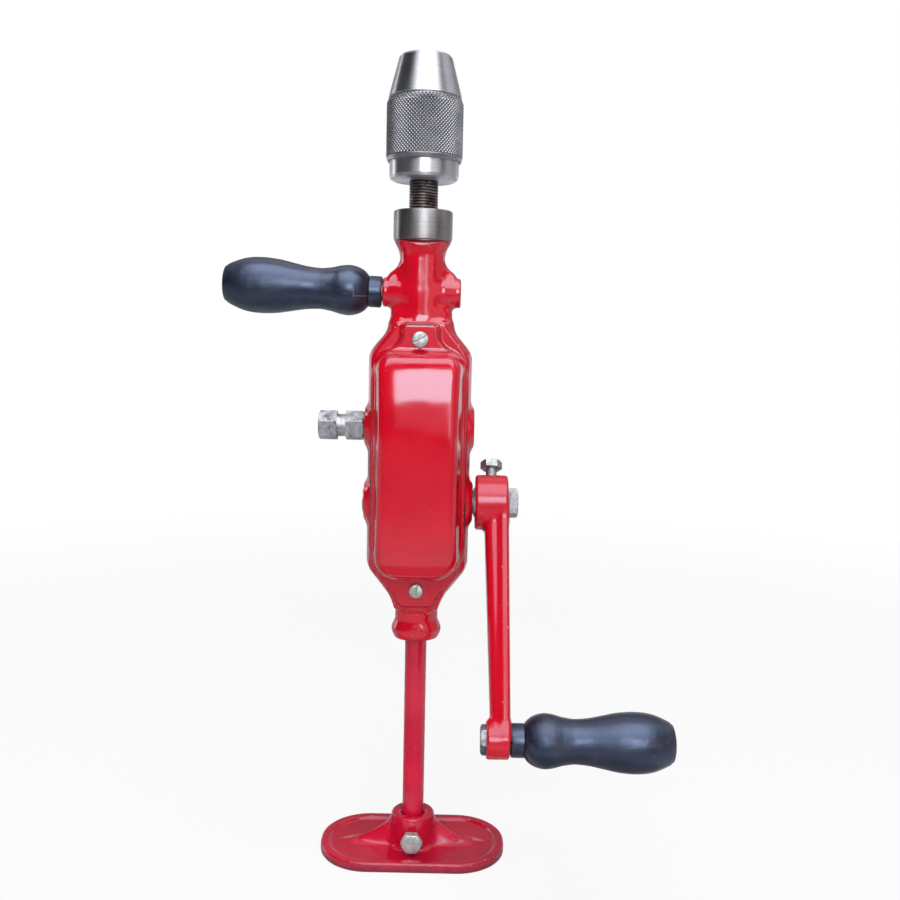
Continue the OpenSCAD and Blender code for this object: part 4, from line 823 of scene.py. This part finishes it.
def crank_form(x, y, z):
    """Crank about its shaft on X, with the arm straight down."""
    along = np.clip(-z / CRANK_R, 0, 1)
    ends = both(z, -CRANK_R - z)
    breadth = ARM_W0 + (ARM_W1 - ARM_W0) * along
    outer = HUB_X1 + (EYE_X1 - HUB_X1) * along
    thick = ARM_T0 + (ARM_T1 - ARM_T0) * along
    flange = meet(abs(y) - breadth, both(x - outer, outer - FLANGE_T - x), 1.5)
    web = meet(abs(y) - breadth * WEB, both(x - outer + WEB_IN, outer - thick - x), 5.0)
    arm = join(both(flange, ends), both(web, ends), 3.5)
    hub = meet(np.hypot(y, z) - HUB_R, both(HUB_X0 - x, x - HUB_X1), 1.6)
    eye = meet(np.hypot(y, z + CRANK_R) - EYE_R, both(EYE_X0 - x, x - EYE_X1), 1.4)
    body = join(join(arm, hub, 2.6), eye, 3.0)
    middle = (HUB_X0 + HUB_X1) / 2
    flats = [abs(y * math.sin(a) + z * math.cos(a)) for a in np.radians([0, 60, 120])]
    bore = both(both(*flats) - HEX_AF / 2 - HEX_GAP, abs(x - middle) - HEX_REACH)
    bolt = both(np.hypot(x - middle, y) - BOLT_R - BORE_GAP, -z)
    pin = np.hypot(y, z + CRANK_R) - GRIP_PIN_R - BORE_GAP
    return meet(body, -either(bore, bolt, pin), 0.35)


crank = cast("crank_arm_casting", crank_form, (32.2, -17, -145), (53.4, 17, 17), 0.7, crank_place)
crank_red = enamel("crank_enamel", RED, DEEP_RED, 0.18, 1.6)
settle(crank, crank_red, "crank", "red_enamel", "crank_arm")
dress(bolt_zinc, "grip_pin")
dress(zinc_plate("dull_zinc", (0.47, 0.48, 0.50), (0.29, 0.29, 0.31), 0.56), "crank_bolt")
dress(zinc_plate("grey_zinc", (0.33, 0.34, 0.36), (0.20, 0.20, 0.22), 0.58), "grip_lock_nut")

# Grips: turned hardwood with a short collar, a bead, a waist and a full end, finished in black lacquer that
# has worn a little. One runs on the crank's pin, the other is screwed on a stud in the neck's boss.
GRIP_SHARES = [(0.085, 0.56), (0.105, 0.69), (0.135, 0.80), (0.17, 0.87), (0.205, 0.90), (0.25, 0.875),
               (0.32, 0.78), (0.39, 0.73), (0.47, 0.765), (0.56, 0.86), (0.66, 0.965), (0.745, 1.0),
               (0.80, 0.99), (0.855, 0.945), (0.90, 0.865), (0.94, 0.77), (0.968, 0.69), (0.977, 0.64)]
GRIP_ROWS, GRIP_STEPS, GRIP_COLLAR_L, GRIP_COLLAR_SHARE, GRIP_END = 90, 120, 8.0, 0.56, 1.9
GRIP_L, GRIP_FAT, GRIP_X0, GRIP_HOLE_R, GRIP_HOLE_DEEP = 87.0, 15.9, 53.0, 7.3, 7.1
SIDE_L, SIDE_FAT, SIDE_GAP, SIDE_CENTRE_R, SIDE_CENTRE_Z = 90.3, 15.8, 0.6, 0.5, 0.02
SIDE_SCRATCHES = [(-34.0, 329.4, 3.9, 0.3), (-37.8, 331.2, 0.3, 2.0)]


def eased(points, count):
    """Smooth line through points in rising order, with no overshoot."""
    xs, ys = np.array(points).T
    steep = np.diff(ys) / np.diff(xs)
    before, after = steep[:-1], steep[1:]
    inner = np.where(after * before > 0, 2 * after * before / (after + before + 1e-9), 0)
    tangent = np.concatenate([[steep[0]], inner, [steep[-1]]])
    at = np.linspace(xs[0], xs[-1], count)
    k = np.clip(np.searchsorted(xs, at, side="right") - 1, 0, len(xs) - 2)
    w = xs[k + 1] - xs[k]
    t = (at - xs[k]) / w
    value = (ys[k] * (1 + 2 * t) * (1 - t) ** 2 + tangent[k] * w * t * (1 - t) ** 2
             + ys[k + 1] * t * t * (3 - 2 * t) + tangent[k + 1] * w * t * t * (t - 1))
    return list(zip(at, value))


def grip_profile(length, fat, bore, end_hole):
    """Profile of a grip about its own axis: collar, bead, waist, full end, then its bore or a closed end."""
    neck = GRIP_COLLAR_SHARE * fat
    line = [(bore, 0.3), (bore + 0.3, 0.0), (neck - 0.9, 0.0), (neck - 0.25, 0.3), (neck, 1.0),
            (neck, GRIP_COLLAR_L - 1.2), (neck - 0.5, GRIP_COLLAR_L - 0.5)]
    line += [(share * fat, at * length) for at, share in eased(GRIP_SHARES, GRIP_ROWS)]
    last = GRIP_SHARES[-1][1] * fat
    angles = [12, 25, 38] if end_hole else [12, 25, 38, 52, 66, 79]
    line += [(last * math.cos(a), length - GRIP_END * (1 - math.sin(a))) for a in np.radians(angles)]
    if end_hole:
        return line + [(GRIP_HOLE_R + 0.15, length - 0.75), (GRIP_HOLE_R, length - 1.0),
                       (GRIP_HOLE_R, length - GRIP_HOLE_DEEP), (bore, length - GRIP_HOLE_DEEP)]
    return line + [(0, length)]


def black_lacquer(name, scratches):
    """Black lacquer on wood: bluish satin, brushed along the grain, rubbed brown here and there, with
    scratches on the front given by their middle and half-lengths along X and Z."""
    material, surface, place = shader(name)
    rub = spread(grain(place, 9, 5, (2.0, 1, 1), 0.65), 0.50, 0.74)
    nicks = spread(grain(place, 1.8, 3, (3, 1, 1)), 0.70, 0.74)
    colour = blended(rub, (0.007, 0.0075, 0.017), (0.038, 0.027, 0.032))
    colour = blended(times(nicks, 0.5), colour, (0.09, 0.085, 0.095))
    if scratches:
        axes = node(place, "SeparateXYZ", {0: place}).outputs
        wobble = times(sums("SUBTRACT", grain(place, 2.5, 2), 0.5), 1.2 * MM)

        def beyond(axis, middle, half):
            """How far a place lies past the half-length of a scratch."""
            off = sums("SUBTRACT", sums("ADD", axis, wobble), middle * MM)
            return sums("SUBTRACT", sums("ABSOLUTE", off), half * MM)

        bars = []
        for x, z, half_x, half_z in scratches:
            past = sums("MAXIMUM", beyond(axes[0], x, half_x), beyond(axes[2], z, half_z))
            bars.append(spread(past, 0.1 * MM, -0.15 * MM))
        front = sums("LESS_THAN", axes[1], 0.0)
        bare = times(sums("MAXIMUM", *bars), front)
        colour = blended(times(bare, 0.6), colour, (0.17, 0.12, 0.09))
    rough = spread(grain(place, 12, 4, (2, 1, 1)), 0.35, 0.65, 0.28, 0.48)
    feed(surface, {"Base Color": colour, "Roughness": rough, "Specular IOR Level": 0.9, "IOR": 1.6,
                   "Specular Tint": (0.52, 0.66, 1.0, 1)})
    pores = relief(surface, grain(place, 1.1, 3, (9, 1, 1)), 0.05)
    strokes = relief(surface, grain(place, 5, 3, (0.5, 1.6, 1.6)), 0.10, pores)
    relief(surface, grain(place, 14, 3), 0.5, strokes)
    return material


grip_place = crank_place @ Matrix.Translation((GRIP_X0, 0, -CRANK_R)) @ Matrix.Rotation(math.pi / 2, 4, "Y")
grip_line = grip_profile(GRIP_L, GRIP_FAT, GRIP_PIN_R + BORE_GAP, True)
grip = turned("crank_grip_turning", grip_line, grip_place, steps=GRIP_STEPS, ring=True)
settle(grip, black_lacquer("black_grip", []), "crank_grip", "black_wood", "crank_grip")
side_place = (Matrix.Translation((-SIDE_X, 0, SIDE_Z)) @ Matrix.Rotation(SIDE_TILT - math.pi / 2, 4, "Y")
              @ Matrix.Translation((0, 0, SIDE_GAP)))
side_line = [(0, SIDE_CENTRE_Z)] + grip_profile(SIDE_L, SIDE_FAT, SIDE_CENTRE_R, False)[1:]
side = turned("side_grip_turning", side_line, side_place, steps=GRIP_STEPS)
settle(side, black_lacquer("black_side_grip", SIDE_SCRATCHES), "frame", "black_wood", "side_grip")
dress(bolt_zinc, "side_stud")

# Floor, studio light and camera: a plain pale floor that runs out into white, one large soft light in front
# with weaker ones, dark and bright sheets all round that only gloss shows, and the photograph's viewpoint.
FLOOR_R, FLOOR_STEPS, FLOOR_FADE = 2.2, 96, (0.45, 1.3)
SCREEN_R, SCREEN_H, SCREEN_STEPS, BACK_H, FALL_R = 2.9, 3.4, 24, 0.8, 1.3
WALL, CARPET, CARPET_Z, UPRIGHT = (SCREEN_R, SCREEN_R), (0.20, SCREEN_R), (0.002, 0.002), (0.0, SCREEN_H)
COOL, MIDDLE = (0.95, 0.97, 1.0), Vector((0.01, 0, 0.25))
CAMERA_AT, SENSOR, LENS = Vector((0.017861, -0.570732, 0.305620)), 36.0, 39.6
PITCH, ROLL = math.radians(6.3), math.radians(1.21)


def pale_floor():
    """Pale floor that keeps the shadow near the object and is plain white to the eye further out."""
    material, surface, place = shader("pale_floor")
    colour = blended(grain(place, 300, 2), (0.80, 0.80, 0.81), (0.83, 0.83, 0.83))
    feed(surface, {"Base Color": colour, "Roughness": 0.9, "Specular IOR Level": 0.1})
    reach = node(place, "VectorMath", {0: place}, operation="LENGTH").outputs["Value"]
    away = node(place, "MapRange", {0: reach, 1: FLOOR_FADE[0], 2: FLOOR_FADE[1]},
                interpolation_type="SMOOTHSTEP").outputs[0]
    rays = node(place, "LightPath").outputs
    seen = sums("MAXIMUM", rays["Is Camera Ray"], rays["Is Transmission Ray"])
    white = node(place, "Emission", {"Strength": 1.0}).outputs[0]
    share = times(spread(away, 0.0, 1.0, 0.86, 1.0), seen)
    mixed = node(place, "MixShader", {0: share, 1: surface.outputs[0], 2: white}).outputs[0]
    feed(material.node_tree.nodes["Material Output"], {"Surface": mixed})
    return material


floor_mesh = bpy.data.meshes.new("studio_floor")
floor_turns = np.linspace(0, 2 * math.pi, FLOOR_STEPS, False)
floor_mesh.from_pydata([(FLOOR_R * math.sin(a), -FLOOR_R * math.cos(a), 0) for a in floor_turns], [],
                       [list(range(FLOOR_STEPS))])
floor = shown("studio_floor", floor_mesh)
floor_mesh.materials.append(pale_floor())


def sheet(name, first, last, span, heights, level, colour=(1, 1, 1), fall=0.0):
    """A dull sheet between two bearings, in degrees to the right of the front: upright or on the floor,
    losing a share of its brightness further out."""
    bearings = np.radians(np.linspace(first, last, SCREEN_STEPS + 1))
    points = [(r * math.sin(a), -r * math.cos(a), z) for a in bearings for r, z in zip(span, heights)]
    mesh = bpy.data.meshes.new(name)
    mesh.from_pydata(points, [], [(2 * i, 2 * i + 1, 2 * i + 3, 2 * i + 2) for i in range(SCREEN_STEPS)])
    material, surface, place = shader(name)
    reach = node(place, "VectorMath", {0: place}, operation="LENGTH").outputs["Value"]
    close = sums("POWER", spread(reach, span[0], FALL_R, 1.0, 0.0), 2.0)
    feed(surface, {"Base Color": spread(grain(place, 250, 2), 0.3, 0.7, 0.02, 0.06),
                   "Roughness": 1.0, "Emission Color": (*colour, 1),
                   "Emission Strength": spread(close, 0.0, 1.0, level * (1 - fall), level)})
    mesh.materials.append(material)
    screen = shown(name, mesh)
    screen.visible_camera = False
    screen.visible_diffuse = False
    screen.visible_shadow = False


sheet("left_screen", -125.0, -48.0, WALL, (0.0, 3 * SCREEN_H), 0.0)
sheet("front_screen", -48.0, 18.0, WALL, UPRIGHT, 0.0)
sheet("warm_screen", 18.0, 55.0, WALL, UPRIGHT, 0.75, (1.0, 0.90, 0.86))
sheet("side_screen", 55.0, 78.0, WALL, UPRIGHT, 0.10)
sheet("near_carpet", -125.0, 78.0, (0.08, CARPET[0]), CARPET_Z, 0.22)
sheet("left_carpet", -125.0, -55.0, CARPET, CARPET_Z, 0.40)
sheet("front_carpet", -55.0, 78.0, CARPET, CARPET_Z, 0.75, fall=0.85)
sheet("right_screen", 78.0, 128.0, WALL, (0.0, 0.55 * SCREEN_H), 0.36)
sheet("back_screen", 128.0, 235.0, WALL, (0.0, BACK_H), 0.95, (1.0, 0.90, 0.97))
sheet("high_screen", 128.0, 235.0, WALL, (BACK_H, SCREEN_H), 0.30)


def soft_light(name, bearing, rise, away, width, height, level, colour=(1, 1, 1), roll=0.0):
    """A rectangular soft light of that brightness, aimed at the middle of the object."""
    data = bpy.data.lights.new(name, "AREA")
    data.shape = "RECTANGLE"
    data.size, data.size_y = width, height
    data.energy = level * math.pi * width * height
    data.color = colour
    lamp = bpy.data.objects.new(name, data)
    turn, lift = math.radians(bearing), math.radians(rise)
    flat = math.cos(lift)
    lamp.location = MIDDLE + away * Vector((math.sin(turn) * flat, -math.cos(turn) * flat, math.sin(lift)))
    aim = (MIDDLE - lamp.location).to_track_quat("-Z", "Y").to_matrix()
    lamp.rotation_euler = (aim @ Matrix.Rotation(math.radians(roll), 3, "Z")).to_euler()
    bpy.context.collection.objects.link(lamp)


soft_light("window_light", 3.5, 19.5, 2.0, 0.95, 0.825, 8.4, COOL, 5.0)
soft_light("sill_light", 13.0, 3.0, 2.0, 0.30, 0.42, 2.1, COOL)
soft_light("glow_light", 6.0, 2.5, 2.02, 1.0, 0.36, 0.5, COOL)
soft_light("top_light", 5.0, 65.0, 2.0, 2.3, 2.04, 3.1, COOL)
soft_light("left_strip", -118.0, 8.0, 2.0, 0.36, 1.6, 3.0)

world = bpy.data.worlds.new("studio")
bpy.context.scene.world = world
world.use_nodes = True
background = world.node_tree.nodes["Background"]
rays = node(background, "LightPath").outputs
seen = sums("MAXIMUM", rays["Is Camera Ray"], rays["Is Glossy Ray"])
seen = sums("MAXIMUM", seen, rays["Is Transmission Ray"])
level = node(background, "Mix", {0: seen, 2: 0.12, 3: 1.0}).outputs[0]
feed(background, {"Color": (1, 1, 1, 1), "Strength": level})

ahead = Vector((0, math.cos(PITCH), -math.sin(PITCH)))
right = Vector((1, 0, 0))
upward = right.cross(ahead)
camera_right = right * math.cos(ROLL) + upward * math.sin(ROLL)
camera_up = upward * math.cos(ROLL) - right * math.sin(ROLL)
camera_data = bpy.data.cameras.new("front_camera")
camera_data.sensor_width = SENSOR
camera_data.lens = LENS
camera = bpy.data.objects.new("front_camera", camera_data)
camera.matrix_world = Matrix((
    (*camera_right, 0), (*camera_up, 0), (*-ahead, 0), (*CAMERA_AT, 1))).transposed()
bpy.context.collection.objects.link(camera)
bpy.context.scene.camera = camera
bpy.context.scene.view_settings.view_transform = "Standard"
